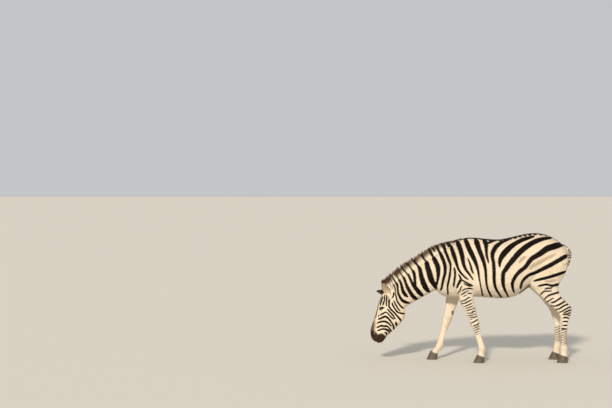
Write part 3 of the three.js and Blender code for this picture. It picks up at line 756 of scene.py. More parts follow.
HIND_STRIPES = [
    [(776, 640, 3), (795, 650, 4), (809, 661, 4), (823, 671, 4), (835, 674, 3)],
    [(823, 630, 5), (842, 635, 7), (861, 644, 7), (880, 657, 7), (899, 669, 8), (913, 678, 7), (919, 688, 5)],
    [(812, 599, 3), (828, 595, 3), (849, 593, 4), (870, 598, 7), (894, 607, 8), (913, 617, 8), (932, 628, 7),
     (951, 640, 6), (966, 648, 5)],
    [(866, 558, 4), (885, 562, 4), (906, 569, 6), (922, 581, 7), (941, 593, 7), (960, 602, 6), (979, 609, 6),
     (999, 619, 6)],
    [(904, 530, 4), (927, 538, 5), (946, 550, 6), (965, 562, 6), (984, 572, 6), (1003, 580, 6),
     (1026, 588, 6)],
    [(953, 526, 5), (974, 536, 6), (993, 546, 6), (1012, 550, 6), (1035, 550, 5)],
    [(944, 505, 5), (965, 507, 7), (979, 512, 5), (998, 520, 5), (1018, 523, 4)],
    [(984, 501, 4), (1008, 496, 4)],
    [(944, 471, 4), (965, 476, 7), (979, 472, 6), (1000, 464, 5)],
    [(944, 431, 4), (965, 434, 6), (986, 431, 5)],
    [(942, 392, 4), (965, 392, 6), (986, 393, 4)],
    [(914, 356, 2), (944, 359, 5), (988, 351, 4)],
]
FORE_STRIPES = [
    [(-112, 750, 5), (-97, 762, 5), (-76, 773, 5), (-53, 777, 6), (-27, 776, 7), (-3, 771, 5)],
    [(-122, 709, 4), (-105, 722, 6), (-84, 735, 5), (-66, 746, 4), (-47, 754, 3)],
    [(-156, 729, 5), (-144, 746, 6), (-132, 760, 6), (-126, 786, 5), (-115, 800, 5)],
    [(-56, 722, 4), (-37, 726, 6), (-14, 726, 5)],
    [(-102, 693, 3), (-84, 701, 4), (-66, 710, 4)],
    [(-134, 638, 3), (-115, 646, 4), (-94, 650, 5), (-76, 660, 6), (-61, 672, 6), (-45, 682, 6),
     (-32, 685, 4)],
    [(-130, 618, 3), (-100, 619, 4), (-76, 626, 6), (-58, 637, 6), (-37, 647, 5), (-14, 659, 4)],
    [(-76, 595, 4), (-58, 601, 6), (-37, 611, 6), (-24, 616, 5), (-12, 623, 4)],
    [(-94, 590, 3), (-68, 592, 4)],
    [(-76, 569, 3), (-53, 574, 4), (-32, 582, 4), (-4, 593, 5)],
    [(-66, 548, 4), (-47, 549, 5), (-32, 556, 4), (-11, 562, 4), (7, 569, 4), (20, 575, 3)],
    [(-16, 530, 4), (7, 538, 6), (22, 541, 4)],
    [(-58, 521, 3), (-42, 520, 4), (-16, 519, 4), (4, 523, 3)],
    [(-48, 496, 4), (-32, 495, 4), (-11, 497, 5), (6, 503, 4), (25, 512, 4)],
    [(-32, 476, 4), (-11, 476, 4), (10, 475, 6), (22, 479, 5), (36, 489, 4), (49, 495, 3)],
    [(-30, 456, 2), (-6, 458, 3)],
    [(-22, 416, 4), (-6, 421, 5), (12, 429, 6), (25, 439, 6), (38, 447, 6), (47, 453, 3)],
    [(2, 384, 3), (20, 392, 5), (36, 398, 5), (51, 406, 5), (62, 414, 4)],
    [(-28, 394, 3), (-14, 392, 2)],
    [(8, 360, 3), (25, 367, 4), (42, 376, 4), (58, 386, 2)],
    [(16, 338, 3), (32, 344, 4), (47, 353, 4), (62, 361, 2)],
    [(22, 316, 2), (40, 322, 4), (58, 330, 3)],
    [(34, 297, 1), (50, 301, 2), (64, 307, 1)],
]


def longer(stripe, front, rear):
    """The stripe carried on past its two ends by these lengths in millimetres."""
    line = np.array(stripe, float)
    line[0, :2] += unit(line[0, :2] - line[1, :2]) * front
    line[-1, :2] += unit(line[-1, :2] - line[-2, :2]) * rear
    return [tuple(row) for row in line]


FORE_STRIPES = [longer(stripe, 3, 3) for stripe in FORE_STRIPES]
NECK_STRIPES = [longer(stripe, 12, 0) for stripe in NECK_STRIPES]
HIND_STRIPES = [longer(stripe, 12, 6) for stripe in HIND_STRIPES]
# Each chart of stripes, how far from the middle of the body the upright plane lies that it is drawn on, and
# how much wider than drawn its stripes are on each side.
HEAD_DEPTH, NECK_DEPTH, RUMP_DEPTH = 90, 95, 215
CHARTS = [
    (HEAD_STRIPES, HEAD_DEPTH, 3.6),
    (NECK_STRIPES, NECK_DEPTH, 4.2),
    (TRUNK_STRIPES, 235, 1.8),
    (RUMP_STRIPES, RUMP_DEPTH, 2.2),
    (HIND_STRIPES, 150, 2.8),
    (FORE_STRIPES, 150, 1.7),
]
VIEW = np.array([-1737.0, -12000.0, 1780.0])  # where the charts are seen from
OUTSIDE = -40  # far outside any stripe
# How far down the dark line along the back reaches from its highest line, by x.
SPINE_DROPS = np.array([(-300, 0), (-250, 10), (-150, 11), (-50, 9), (50, 10), (120, 16), (320, 16),
                        (560, 19), (680, 19), (770, 14), (890, 13), (960, 9), (1005, 12)], float)
SPINE_FRONT = -20  # the same ahead of the list
SPINE_LOW, SPINE_HALF = 1100, 190  # its lowest place, and how far from the middle it can reach
# Light slivers that run up between the stripes into the dark line, as (x, half width) in millimetres.
SLIVERS = [(168, 4), (222, 6), (275, 6), (328, 6), (372, 8), (428, 6), (482, 9), (534, 9), (586, 9), (640, 7),
           (694, 7), (750, 6), (806, 7), (858, 6), (908, 6)]


def on_chart(p, depth):
    """Each point seen from VIEW on a chart this far from the middle plane. The right side is mirrored."""
    near = -VIEW[1] - np.abs(p[:, 1])
    scale = (-VIEW[1] - depth) / near
    return np.stack([(p[:, 0] - VIEW[0]) * scale + VIEW[0], (p[:, 2] - VIEW[2]) * scale + VIEW[2]], 1)


STRIPE_MARGIN = 45  # a stripe is only looked at this near to its line
END_SHARE, END_RUN = 0.45, 1.6  # a stripe's width at its ends, and in how many half widths it is full


def inside_stripes(places, stripes, fringe=0.0):
    """How far inside the nearest stripe each place is, less than 0 outside. Stripes narrow to their ends."""
    best = np.full(len(places), float(OUTSIDE))
    for stripe in stripes:
        line = eased(curve(stripe, 5), 5)
        run = np.concatenate([[0], np.cumsum(np.hypot(*np.diff(line[:, :2], axis=0).T))])
        from_end = np.minimum(run, run[-1] - run)
        line[:, 2] += fringe
        line[:, 2] *= np.minimum(1, END_SHARE + (1 - END_SHARE) * from_end / (END_RUN * line[:, 2]))
        low, high = line[:, :2].min(0) - STRIPE_MARGIN, line[:, :2].max(0) + STRIPE_MARGIN
        chosen = np.nonzero(((places > low) & (places < high)).all(1))[0]
        if not len(chosen):
            continue
        q = places[chosen]
        found = np.full(len(q), float(OUTSIDE))
        for (ax, az, aw), (bx, bz, bw) in zip(line[:-1], line[1:]):
            way = np.array([bx - ax, bz - az])
            t = np.clip(((q[:, 0] - ax) * way[0] + (q[:, 1] - az) * way[1]) / (way @ way + 1e-9), 0, 1)
            gap = np.hypot(q[:, 0] - ax - t * way[0], q[:, 1] - az - t * way[1])
            found = np.maximum(found, aw + t * (bw - aw) - gap)
        best[chosen] = np.maximum(best[chosen], found)
    return best


def cross_bands(p, behind, height, spacing, slope):
    """How far inside thin bands across a leg each point is. One band is at this height."""
    wave = p[:, 2] - height - slope * behind + 5 * wander(p, 60, 3)
    phase = (wave / spacing + 0.5) % 1
    return (0.25 - np.abs(phase - 0.5)) * spacing


BAND_SPACING, BAND_HALF = 24.5, 0.21  # of the guessed bands, the half width as a share of the spacing
BAND_LEAN, BAND_WANDER = 0.4, 7


def leg_bands(p, joints, ys, side, top, low):
    """Cross bands on the outer side of a leg, in a frame that runs down its bones."""
    bones = leg_line(joints, ys, side)
    best = np.full(len(p), 1e9)
    down = np.zeros(len(p))
    ahead = np.zeros(len(p))
    run = 0.0
    for a, b in zip(bones[:-1], bones[1:]):
        length = np.linalg.norm(b - a)
        way = (b - a) / length
        front = unit(np.cross(way, [0, 1, 0]))
        front = front * (-1 if front[0] > 0 else 1)
        t = np.clip((p - a) @ way, 0, length)
        gap = np.linalg.norm(p - a - t[:, None] * way, axis=1)
        closer = gap < best
        best[closer] = gap[closer]
        down[closer] = run + t[closer]
        ahead[closer] = ((p - a) @ front)[closer]
        run += length
    across = (p[:, 1] - np.interp(down, [0, run], [side * ys[0], side * ys[-1]])) * side
    wave = down + BAND_LEAN * ahead + BAND_WANDER * wander(p, 70, 3)
    phase = (wave / BAND_SPACING) % 1
    band = (BAND_HALF - np.abs(phase - 0.5)) * BAND_SPACING
    keep = smoothstep(top, top + 60, down) * smoothstep(low + 50, low - 30, down)
    keep = keep * smoothstep(-14, 20, across)
    return band - 12 * (1 - keep)


BARS, BAR_SPACING, BAR_HALF, BARS_REACH = 13, 32, 0.27, 30  # of the tail
FULL_DARK = 9  # far enough inside a stripe to be all dark


def tail_bars(p):
    """Dark bars and a dark upper line on the dock of the tail."""
    gap, along = near_line(p, TAIL_LINE)
    steps = np.linspace(0, 1, len(TAIL_LINE))
    across, centre = (np.interp(along, steps, TAIL_LINE[:, k]) for k in (1, 2))
    phase = (along * BARS + 0.25 * wander(p, 40, 71)) % 1
    bars = (BAR_HALF - np.abs(phase - 0.5)) * BAR_SPACING
    upper = FULL_DARK - np.abs(p[:, 1] - across)
    bars = np.maximum(bars - 10 * smoothstep(0.75, 0.9, along), np.where(p[:, 2] > centre, upper, -FULL_DARK))
    return np.where(gap < BARS_REACH, bars, -FULL_DARK)


def spine_line(p):
    """How far inside the dark line along the back each point is, with light slivers at its sides."""
    y = np.abs(p[:, 1])
    drop = np.interp(p[:, 0], SPINE_DROPS[:, 0], SPINE_DROPS[:, 1], left=SPINE_FRONT)
    top = np.interp(p[:, 0], BACK_LINE[:, 0], BACK_LINE[:, 1])
    inside = drop - (top - p[:, 2]) + 2 * wander(p, 45, 5)
    opening = smoothstep(24, 70, y)
    for x, half in SLIVERS:
        beside = np.abs(p[:, 0] - x - 0.22 * (y - 90) - 4 * wander(p, 80, 6))
        inside = np.minimum(inside, beside - (half + 2) * opening + 6 * (1 - opening))
    return inside


RIGHT_BEND = 9.0  # how far the right side's stripes stray from a mirror image
LEG_MIDDLE = 124  # from the body's middle plane to a leg's
# Fine bands across the hind cannons and the right knee: the height of one, spacing, slope.
CANNON_BANDS, KNEE_BANDS = (247, 25, 0.45), (411, 24, -0.3)
# Where the guessed bands of the inner side begin and end, down the leg.
FORE_BANDS, HIND_BANDS = (60, 430), (150, 520)


def mark_leg(p, kind, side, outer, value, browned):
    """The stripes of one leg, given how far inside the charted stripes each of its points is."""
    joints, ys = (FORE_JOINTS, FORE_Y) if kind == FORELEG else (HIND_JOINTS, HIND_Y)
    across = np.abs(p[:, 1]) - LEG_MIDDLE
    if side == LEFT or kind == FORELEG:
        bands = leg_bands(p, joints, ys, side, *(FORE_BANDS if kind == FORELEG else HIND_BANDS))
    if side == LEFT:
        value = np.where(across > -16, outer, np.maximum(bands - 6, outer - 24))
    elif kind == FORELEG:
        value = bands
    else:
        value = outer - 34 * smoothstep(0, -30, across)
    middle = np.array(joints[side][:0:-1], float)
    behind = p[:, 0] - np.interp(p[:, 2], middle[:, 1], middle[:, 0])
    if kind == HINDLEG:
        rows = cross_bands(p, behind, *CANNON_BANDS)
        cannon = smoothstep(374, 352, p[:, 2]) * smoothstep(150, 196, p[:, 2])
        dark_rows = rows - 1.0 - 2.8 * smoothstep(26, -34, behind) - 30 * (1 - cannon)
        value = np.maximum(value, dark_rows)
        browned = np.maximum(browned, smoothstep(-4.0, 0.5, rows - 1) * cannon)
    elif side == RIGHT:
        rows = cross_bands(p, behind, *KNEE_BANDS)
        knee = smoothstep(470, 440, p[:, 2]) * smoothstep(290, 320, p[:, 2]) * smoothstep(-14, 4, behind)
        browned = np.maximum(browned, 0.9 * smoothstep(-3, 1, rows - 1.5) * knee)
    return value, browned


def stripe_field(p):
    """How far inside the dark stripes each point of the body is, and from 0 to 1 how brown it is."""
    part = body_part(p)
    side = np.where(p[:, 1] < 0, LEFT, RIGHT)
    stray = np.where(side == RIGHT, RIGHT_BEND, 0.0)[:, None]
    bend = np.stack([wander(p, 260, 11), wander(p, 260, 12)], 1) * stray
    fields = []
    for stripes, depth, fringe in CHARTS:
        fields.append(inside_stripes(on_chart(p, depth) + bend, stripes, fringe))
    head, neck, trunk, rump, hind, fore = fields
    browned = smoothstep(-12, 2, inside_stripes(on_chart(p, RUMP_DEPTH) + bend, SHADOW_STRIPES))
    y = np.abs(p[:, 1])
    # Each part shows its own chart, and near its ends its neighbour's too.
    value = np.maximum(np.maximum(trunk, rump), neck)
    value = np.maximum(value, np.where(p[:, 0] > 700, hind, OUTSIDE))
    value = np.maximum(value, np.where((np.abs(p[:, 0] + 100) < 160) & (p[:, 2] < 840), fore, OUTSIDE))
    value = np.where(part == HEAD, np.maximum(head, np.where(p[:, 2] > 600, neck, OUTSIDE)), value)
    value = np.where((part == NECK) & (p[:, 0] < -700), np.maximum(value, head), value)
    # Down the middle of the belly and the breast the stripes run out.
    under = smoothstep(105, 55, y) * smoothstep(750, 700, p[:, 2]) * (part == TRUNK)
    value = value - 30 * under
    on_back = (part == TRUNK) & (p[:, 2] > SPINE_LOW) & (y < SPINE_HALF)
    value = np.where(on_back, np.maximum(value, spine_line(p)), value)
    value = np.where(part == TAIL, tail_bars(p), value)
    for kind, outer in ((FORELEG, np.maximum(fore, trunk)), (HINDLEG, np.maximum(hind, rump))):
        for one in (LEFT, RIGHT):
            leg = (part == kind) & (side == one)
            if leg.any():
                value[leg], browned[leg] = mark_leg(p[leg], kind, one, outer[leg], value[leg], browned[leg])
    return value, browned


# The horny patch on the inner side of each foreleg: (x, z) of its middle, its half sizes, and its reach in y.
CHESTNUTS = {LEFT: (-38, 560), RIGHT: (-178, 497)}
CHESTNUT_HALF = (13, 26)
CHESTNUT_INNER, CHESTNUT_OUTER = 60, 128
# Painted shade in the fold between the belly and the thigh, over thinly haired dark skin there, given as the
# stripes are.
GROIN_FOLD_SHADE = [(470, 736, 8), (520, 764, 13), (558, 794, 18), (580, 822, 18)]


def chestnut(p):
    """How much each point belongs to a chestnut, from 0 to 1."""
    total = np.zeros(len(p))
    for side, (x, z) in CHESTNUTS.items():
        inner = (p[:, 1] * side > CHESTNUT_INNER) & (p[:, 1] * side < CHESTNUT_OUTER)
        reach = np.hypot((p[:, 0] - x) / CHESTNUT_HALF[0], (p[:, 2] - z) / CHESTNUT_HALF[1])
        total += smoothstep(1.15, 0.85, reach) * inner
    return total


# The thin lines down the face, with the half width as a share of the spacing.
FACE_SPACING, FACE_HALF = 8.2, 0.52
# The upper edge of the dark muzzle, as distances back from the forehead and down the face.
NOSE_BACK = [-20, -11, 6, 20, 38, 65, 83, 107, 131, 156]
NOSE_DOWN = [170, 180, 213, 240, 258, 271, 258, 242, 246, 262]


def face_lines(down, side):
    """How far inside the thin lines down the front of the face, that close at the forelock and the nose."""
    lean = 1 + 0.35 * np.sin(np.clip((down + 120) / 330, 0, 1) * math.pi)
    phase = (side / (FACE_SPACING * lean)) % 2
    lines = (FACE_HALF - np.abs(phase - 1)) * FACE_SPACING * lean
    return lines - 20 * (1 - smoothstep(-150, -110, down) * smoothstep(165, 105, down))


def marks_and_shade(p):
    """The marks of each point, with painted shade in hollows and folds: stripe is how many metres inside a dark
    stripe, the others from 0 to 1.
    """
    value, browned = stripe_field(p)
    down, back, side = head_place(p)
    on_head = (body_part(p) == HEAD) | (p[:, 0] < -760) & (p[:, 2] < 640)
    face = smoothstep(30, 12, back) * smoothstep(52, 34, side) * on_head
    value = np.where(face > 0.5, face_lines(down, side), value)
    # The muzzle, dusty on its top.
    below = down - np.interp(back, NOSE_BACK, NOSE_DOWN) + 6 * wander(p, 50, 21)
    dusty_top = 0.30 * smoothstep(85, 20, below) * smoothstep(48, 14, back)
    nose = smoothstep(-14, 10, below) * (1 - dusty_top) * on_head
    tan = 0.8 * smoothstep(-85, -12, below) * smoothstep(34, 8, back) * on_head
    (mouth_gap, mouth_along), (nostril_gap, nostril_along) = openings(np.stack([down, back, side], 1))
    # Painted shade inside the nostrils and along the line between the lips.
    hole = smoothstep(7.5, 4.0, nostril_gap - 3 * nostril_along)
    hole = hole * (side > NOSTRIL_SIDE) * (down > NOSTRIL_TOP)
    lips = smoothstep(3.4, 1.0, mouth_gap) * smoothstep(1.0, 0.9, mouth_along) * (down > MOUTH_TOP)
    # The eyelids, and a dark line behind the rear corner.
    edge, reach, _, ahead, a, b = eye_plane(p)
    on_lids = (reach < EYE_AREA) & (ahead > EYE_BACK) & on_head
    corner = smoothstep(44, 32, -a) * smoothstep(12, 18, -a) * smoothstep(5, 2, np.abs(b - 1))
    lid = np.maximum(smoothstep(1.56, 1.3, edge), 0.95 * corner) * on_lids
    lid_skin = 0.85 * smoothstep(1.48, 1.26, edge) * on_lids
    # The ears: a black tip and rim, a dark band on the back, and brown painted shade inside, darkest in the far
    # ear.
    share, inner, rim = near_ear(p)
    on_ear = share > 0.12
    rough_share = share + 0.05 * wander(p, 22, 23)
    tip = np.maximum(smoothstep(0.82, 0.93, rough_share), rim * smoothstep(0.25, 0.45, share))
    back_band = smoothstep(0.30, 0.40, rough_share) * smoothstep(0.62, 0.50, rough_share) * (1 - inner)
    value = np.where(on_ear, np.maximum(tip, back_band) * 16 - 8, value)
    # The brown inside the ears is painted shade.
    browned = np.where(on_ear, inner * (0.7 + 0.3 * smoothstep(0.35, 0.7, share)), browned)
    # Painted shade, dark and streaked, inside the far ear.
    far_ear_shade = 0.9 * inner * (p[:, 1] > 0) * smoothstep(0.12, 0.3, share)
    far_ear_shade = far_ear_shade * smoothstep(-0.9, 0.0, wander(p, 12, 24))
    # Painted shade in the groin fold, over its dark skin.
    groin_fold_inside = inside_stripes(on_chart(p, RUMP_DEPTH), [GROIN_FOLD_SHADE])
    groin_fold_shade = 0.7 * smoothstep(-9, 4, groin_fold_inside) * (np.abs(p[:, 1]) < 230)
    # Painted shade on the lower legs, and dust towards the feet.
    leg_shade_and_dust = 0.14 * smoothstep(720, 560, p[:, 2]) + 0.16 * smoothstep(320, 90, p[:, 2])
    return {
        "stripe": value * MM,
        # The dark skin of the muzzle and lids, with painted shade inside the far ear and in the groin fold.
        "dark_skin_and_shade": np.maximum(np.maximum(nose, lid), np.maximum(far_ear_shade, groin_fold_shade)),
        "tan": tan,
        # The brown shadow stripes and leg bands, with painted shade inside the ears and on the lower legs.
        "faint": np.maximum(browned, leg_shade_and_dust * (p[:, 0] > BREAST_FRONT)),
        "pale": smoothstep(1000, 700, p[:, 2]) * (p[:, 0] > -600),
        # Painted shade in the nostrils and between the lips, with the dark skin of the lids and the chestnuts.
        "shade_and_dark_skin": np.maximum(np.maximum(np.maximum(hole, lips) * on_head, lid_skin), 0.8 * chestnut(p)),
        "hue": np.full(len(p), 0.5),
    }


# ---- Materials ----
def colour(hexed):
    """A colour in linear light from the usual six digits."""
    parts = [int(hexed[i : i + 2], 16) / 255 for i in (0, 2, 4)]
    return (*[c / 12.92 if c <= 0.04045 else ((c + 0.055) / 1.055) ** 2.4 for c in parts], 1)


CREAM = colour("f1e3ce")
PALE = colour("f4e9d8")
SOOT = colour("0e0805")
BROWN = colour("22150c")
TAN = colour("9b7452")
STRAW = colour("e2d0ac")
SHADOW_BROWN = colour("8d6a4a")
WARM_TUFT = colour("d2bb92")
# Dark bare skin, also the colour of the painted shade inside the far ear and in the groin fold.
DUSK_DARK, DUSK_LIGHT = colour("1e130d"), colour("50392a")
# Painted shade of the nostrils and between the lips, also the dark of the lid skin and the chestnuts.
HOLE = colour("0d0908")
STRIPE_EDGE = 1.6  # half the width of a stripe's soft edge in millimetres
HAIR_EDGE = 2.0  # the same in long hair
FRAY_SIZE, FRAY = 5.0, 7  # size and depth of the edge's fraying


class Nodes:
    """Short words for building a node tree. Each method adds one node and gives back its output."""

    def __init__(self, name):
        self.material = bpy.data.materials.new(name)
        self.material.use_nodes = True
        self.tree = self.material.node_tree
        self.shader = self.tree.nodes["Principled BSDF"]

    def node(self, kind, **settings):
        made = self.tree.nodes.new(kind)
        for key, value in settings.items():
            setattr(made, key, value)
        return made

    def link(self, source, target):
        self.tree.links.new(source, target)

    def attribute(self, name):
        return self.node("ShaderNodeAttribute", attribute_name=name).outputs["Fac"]

    def value(self, kind, first, second):
        made = self.node("ShaderNodeMath", operation=kind)
        for socket, given in zip(made.inputs, (first, second)):
            if isinstance(given, (int, float)):
                socket.default_value = given
            else:
                self.link(given, socket)
        return made.outputs[0]

    def ramp(self, source, low, high):
        made = self.node("ShaderNodeMapRange", interpolation_type="SMOOTHSTEP")
        self.link(source, made.inputs["Value"])
        made.inputs["From Min"].default_value = low
        made.inputs["From Max"].default_value = high
        return made.outputs["Result"]

    def noise(self, size, detail=3.0, stretch=None):
        made = self.node("ShaderNodeTexNoise")
        made.inputs["Scale"].default_value = 1 / (size * MM)
        made.inputs["Detail"].default_value = detail
        where = self.node("ShaderNodeTexCoord").outputs["Object"]
        if stretch:
            squeeze = self.node("ShaderNodeMapping")
            squeeze.inputs["Scale"].default_value = stretch
            self.link(where, squeeze.inputs["Vector"])
            where = squeeze.outputs["Vector"]
        self.link(where, made.inputs["Vector"])
        return made.outputs["Fac"]

    def blend(self, share, first, second):
        made = self.node("ShaderNodeMix", data_type="RGBA")
        for socket, given in zip((made.inputs[0], made.inputs[6], made.inputs[7]), (share, first, second)):
            if isinstance(given, (tuple, float)):
                socket.default_value = given
            else:
                self.link(given, socket)
        return made.outputs[2]

    def bump(self, source, depth, distance):
        made = self.node("ShaderNodeBump")
        made.inputs["Strength"].default_value = depth
        made.inputs["Distance"].default_value = distance * MM
        self.link(source, made.inputs["Height"])
        self.link(made.outputs["Normal"], self.shader.inputs["Normal"])


def coat_material(name, bumpy):
    """The coat's colours from the marks and the painted shade. The skin under the tufts is bumpy too."""
    m = Nodes(name)
    frayed = m.value("MULTIPLY", m.value("SUBTRACT", m.noise(FRAY_SIZE, 2.0), 0.5), FRAY * MM)
    inside = m.value("ADD", m.attribute("stripe"), frayed)
    stripe = m.ramp(inside, -STRIPE_EDGE * MM, STRIPE_EDGE * MM)
    mottled = m.ramp(m.noise(38.0, 3.0), 0.35, 0.65)
    light = m.blend(m.attribute("pale"), CREAM, PALE)
    light = m.blend(m.value("MULTIPLY", mottled, 0.35), light, STRAW)
    # The brown of the shadow stripes and leg bands, with painted shade inside the ears and on the lower legs.
    light = m.blend(m.value("MULTIPLY", m.attribute("faint"), 0.5), light, SHADOW_BROWN)
    light = m.blend(m.attribute("tan"), light, TAN)
    light = m.blend(m.value("MULTIPLY", m.attribute("hue"), 0.26), light, WARM_TUFT)
    dark = m.blend(m.value("MULTIPLY", m.noise(24.0, 2.0), 0.7), SOOT, BROWN)
    fur = m.blend(stripe, light, dark)
    # Dark skin of the muzzle and lids, and painted shade inside the far ear and in the groin fold.
    fur = m.blend(m.attribute("dark_skin_and_shade"), fur, m.blend(m.noise(16.0, 3.0), DUSK_DARK, DUSK_LIGHT))
    # Painted shade in the nostrils and between the lips, and the dark skin of the lids and the chestnuts.
    shade_and_dark_skin = m.blend(m.attribute("shade_and_dark_skin"), fur, HOLE)
    m.link(shade_and_dark_skin, m.shader.inputs["Base Color"])
    m.shader.inputs["Roughness"].default_value = 0.66
    m.shader.inputs["Specular IOR Level"].default_value = 0.10
    m.shader.inputs["Sheen Weight"].default_value = 0.02
    m.shader.inputs["Sheen Roughness"].default_value = 0.45
    if bumpy:
        m.bump(m.noise(2.2, 3.0, (1, 1, 0.35)), 0.35, 1.2)
    return m.material


def plain_material(name, hexed, roughness, specular):
    """One even colour."""
    m = Nodes(name)
    m.shader.inputs["Base Color"].default_value = colour(hexed)
    m.shader.inputs["Roughness"].default_value = roughness
    m.shader.inputs["Specular IOR Level"].default_value = specular
    return m.material


# ---- The skin, put together ----
LEGS_BELOW = 600  # the skin keeps its edges more below this height, and this near to the tail
TAIL_NEAR = 40
KEEP_EDGES, EASE_EDGES = 0.10, 0.22
JOIN_STEPS, EVEN_STEPS, EAR_JOIN_STEPS = 60, 3, 24  # steps of smoothing
HEAD_FRONT = -700  # all the head's finer parts are ahead of this x
# Where the grid is made finer, twice: from how far down the head, and how near to the eye. Behind the eye it
# isn't, and the skin is evened out past the borders by the two margins.
FINER = [(196, 66), (236, 44)]
FINER_BACK, FINER_DOWN_MARGIN, FINER_EYE_MARGIN = -16, 6, 8
# The skin is smoothed where an ear joins it: the middle of that place up the ear, and where the smoothing fades.
EAR_ROOT_UP, EAR_ROOT_NEAR, EAR_ROOT_FAR = 14, 34, 62


def build_skin():
    """One skin over the body and the ears, finer at the eyes and the muzzle."""
    form = bmesh.new()
    for node in FLESH + ["eye_left", "eye_right"]:
        form.from_mesh(welded(node))
    joined = bpy.data.meshes.new("flesh")
    form.to_mesh(joined)
    form.free()
    skin = remeshed(joined, VOXEL)
    p = body_mm(arrays_of(skin)[0])
    tail_gap, _ = near_line(p, TAIL_LINE)
    ridge = np.where((p[:, 2] < LEGS_BELOW) | (tail_gap < TAIL_NEAR), KEEP_EDGES, EASE_EDGES)
    relax(skin, JOIN_STEPS, ridge)
    sculpt_body(skin)
    for muzzle_from, eye_reach in FINER:
        p = body_mm(arrays_of(skin)[0])
        down, _, _ = head_place(p)
        _, reach, _, ahead, _, _ = eye_plane(p)
        by_eye = (reach < eye_reach) & (ahead > FINER_BACK)
        refine(skin, ((down > muzzle_from) | by_eye) & (p[:, 0] < HEAD_FRONT))
        p = body_mm(arrays_of(skin)[0])
        down, _, _ = head_place(p)
        reach = eye_plane(p)[1]
        even = (down > muzzle_from - FINER_DOWN_MARGIN) | (reach < eye_reach + FINER_EYE_MARGIN)
        even = (even & (p[:, 0] < HEAD_FRONT)).astype(float)
        relax(skin, EVEN_STEPS, even, even)
    sculpt_head(skin)
    skin = union(skin, [ear_mesh(LEFT), ear_mesh(RIGHT)])
    p = body_mm(arrays_of(skin)[0])
    near_root = np.zeros(len(p))
    for side in (LEFT, RIGHT):
        root, long, _, _ = ear_frame(side)
        reach = np.linalg.norm(p - root - long * EAR_ROOT_UP, axis=1)
        near_root = np.maximum(near_root, smoothstep(EAR_ROOT_FAR, EAR_ROOT_NEAR, reach))
    relax(skin, EAR_JOIN_STEPS, 0.35 * near_root, near_root)
    return skin


# The line along the back is looked for over this x, at each step, and so near to the middle plane.
BACK_FROM, BACK_TO, BACK_STEP, BACK_HALF = -320, 1030, 10, 25


def highest_line(mesh):
    """The line along the top of the neck and the back, as (x, z) in millimetres."""
    p = body_mm(arrays_of(mesh)[0])
    middle = p[np.abs(p[:, 1]) < BACK_HALF]
    rows = []
    for start in range(BACK_FROM, BACK_TO, BACK_STEP):
        inside = (middle[:, 0] >= start) & (middle[:, 0] < start + BACK_STEP)
        if inside.any():
            rows.append((start + BACK_STEP / 2, middle[inside, 2].max()))
    return np.array(rows)


def give_marks_and_shade(mesh):
    """The marks and the painted shade as values on the mesh, where the materials read them."""
    for name, values in marks_and_shade(body_mm(arrays_of(mesh)[0])).items():
        set_attribute(mesh, name, values)


# ---- Hair and fur ----
LOCK_SIDES = 3
PATCH = 0.003  # size of a tuft's or a hair's own place on the bake map


def lock_shapes(paths, widths, flat, across):
    """Tapered three-sided locks. paths is lock, ring, xyz in millimetres and widths is lock, ring."""
    count, rings = paths.shape[:2]
    way = unit(np.gradient(paths, axis=1))
    wide = unit(across[:, None] - way * (across[:, None] * way).sum(2, keepdims=True))
    thick = np.cross(way, wide)
    turn = np.arange(LOCK_SIDES) / LOCK_SIDES * 2 * math.pi
    ring = wide[:, :, None] * np.cos(turn)[:, None] + thick[:, :, None] * np.sin(turn)[:, None] * flat
    points = (paths[:, :, None] + ring * widths[:, :, None, None]).reshape(-1, 3)
    block = np.arange(count)[:, None] * rings * LOCK_SIDES
    quads = []
    for r in range(rings - 1):
        for k in range(LOCK_SIDES):
            a, b = r * LOCK_SIDES + k, r * LOCK_SIDES + (k + 1) % LOCK_SIDES
            quads.append((a, b, b + LOCK_SIDES, a + LOCK_SIDES))
    first = tuple(range(LOCK_SIDES))
    faces = quads + [first[::-1], tuple((rings - 1) * LOCK_SIDES + k for k in first)]
    corners = [(block + np.array(face)).ravel() for face in faces]
    totals = [np.full(count, len(face)) for face in faces]
    return points, np.concatenate(corners), np.concatenate(totals)


def bake_map(mesh, places):
    """The UV map for baking the colours on: one place for each point."""
    layer = mesh.uv_layers.new(name="OFBake")
    corners = np.empty(len(mesh.loops), np.int32)
    mesh.loops.foreach_get("vertex_index", corners)
    layer.data.foreach_set("uv", np.asarray(places[corners], np.float32).ravel())


def lock_places(rings, roots, tall):
    """The bake patch of each lock: a strip that climbs from its root's place."""
    side = np.tile(np.array([0.0, 0.5, 1.0]) * PATCH, (rings, 1))
    climb = np.repeat(np.linspace(0, tall, rings)[:, None], LOCK_SIDES, 1)
    strip = np.stack([side, climb], 2).reshape(1, -1, 2)
    return (roots[:, None] + strip).reshape(-1, 2)


def hair_piece(name, shapes, places, tall, material, marks, replaces=()):
    """A piece of long hair. shapes is what lock_shapes takes, places and tall are of the bake map."""
    paths, widths, flat, across = shapes
    points, corners, totals = lock_shapes(paths, widths, flat, across)
    mesh = make_mesh(name, metres(points), corners, totals)
    mesh.polygons.foreach_set("use_smooth", np.zeros(len(totals), bool))
    bake_map(mesh, lock_places(paths.shape[1], places, tall))
    for key, values in marks.items():
        set_attribute(mesh, key, np.repeat(values.reshape(-1), LOCK_SIDES))
    make_piece(name, mesh, material, replaces)


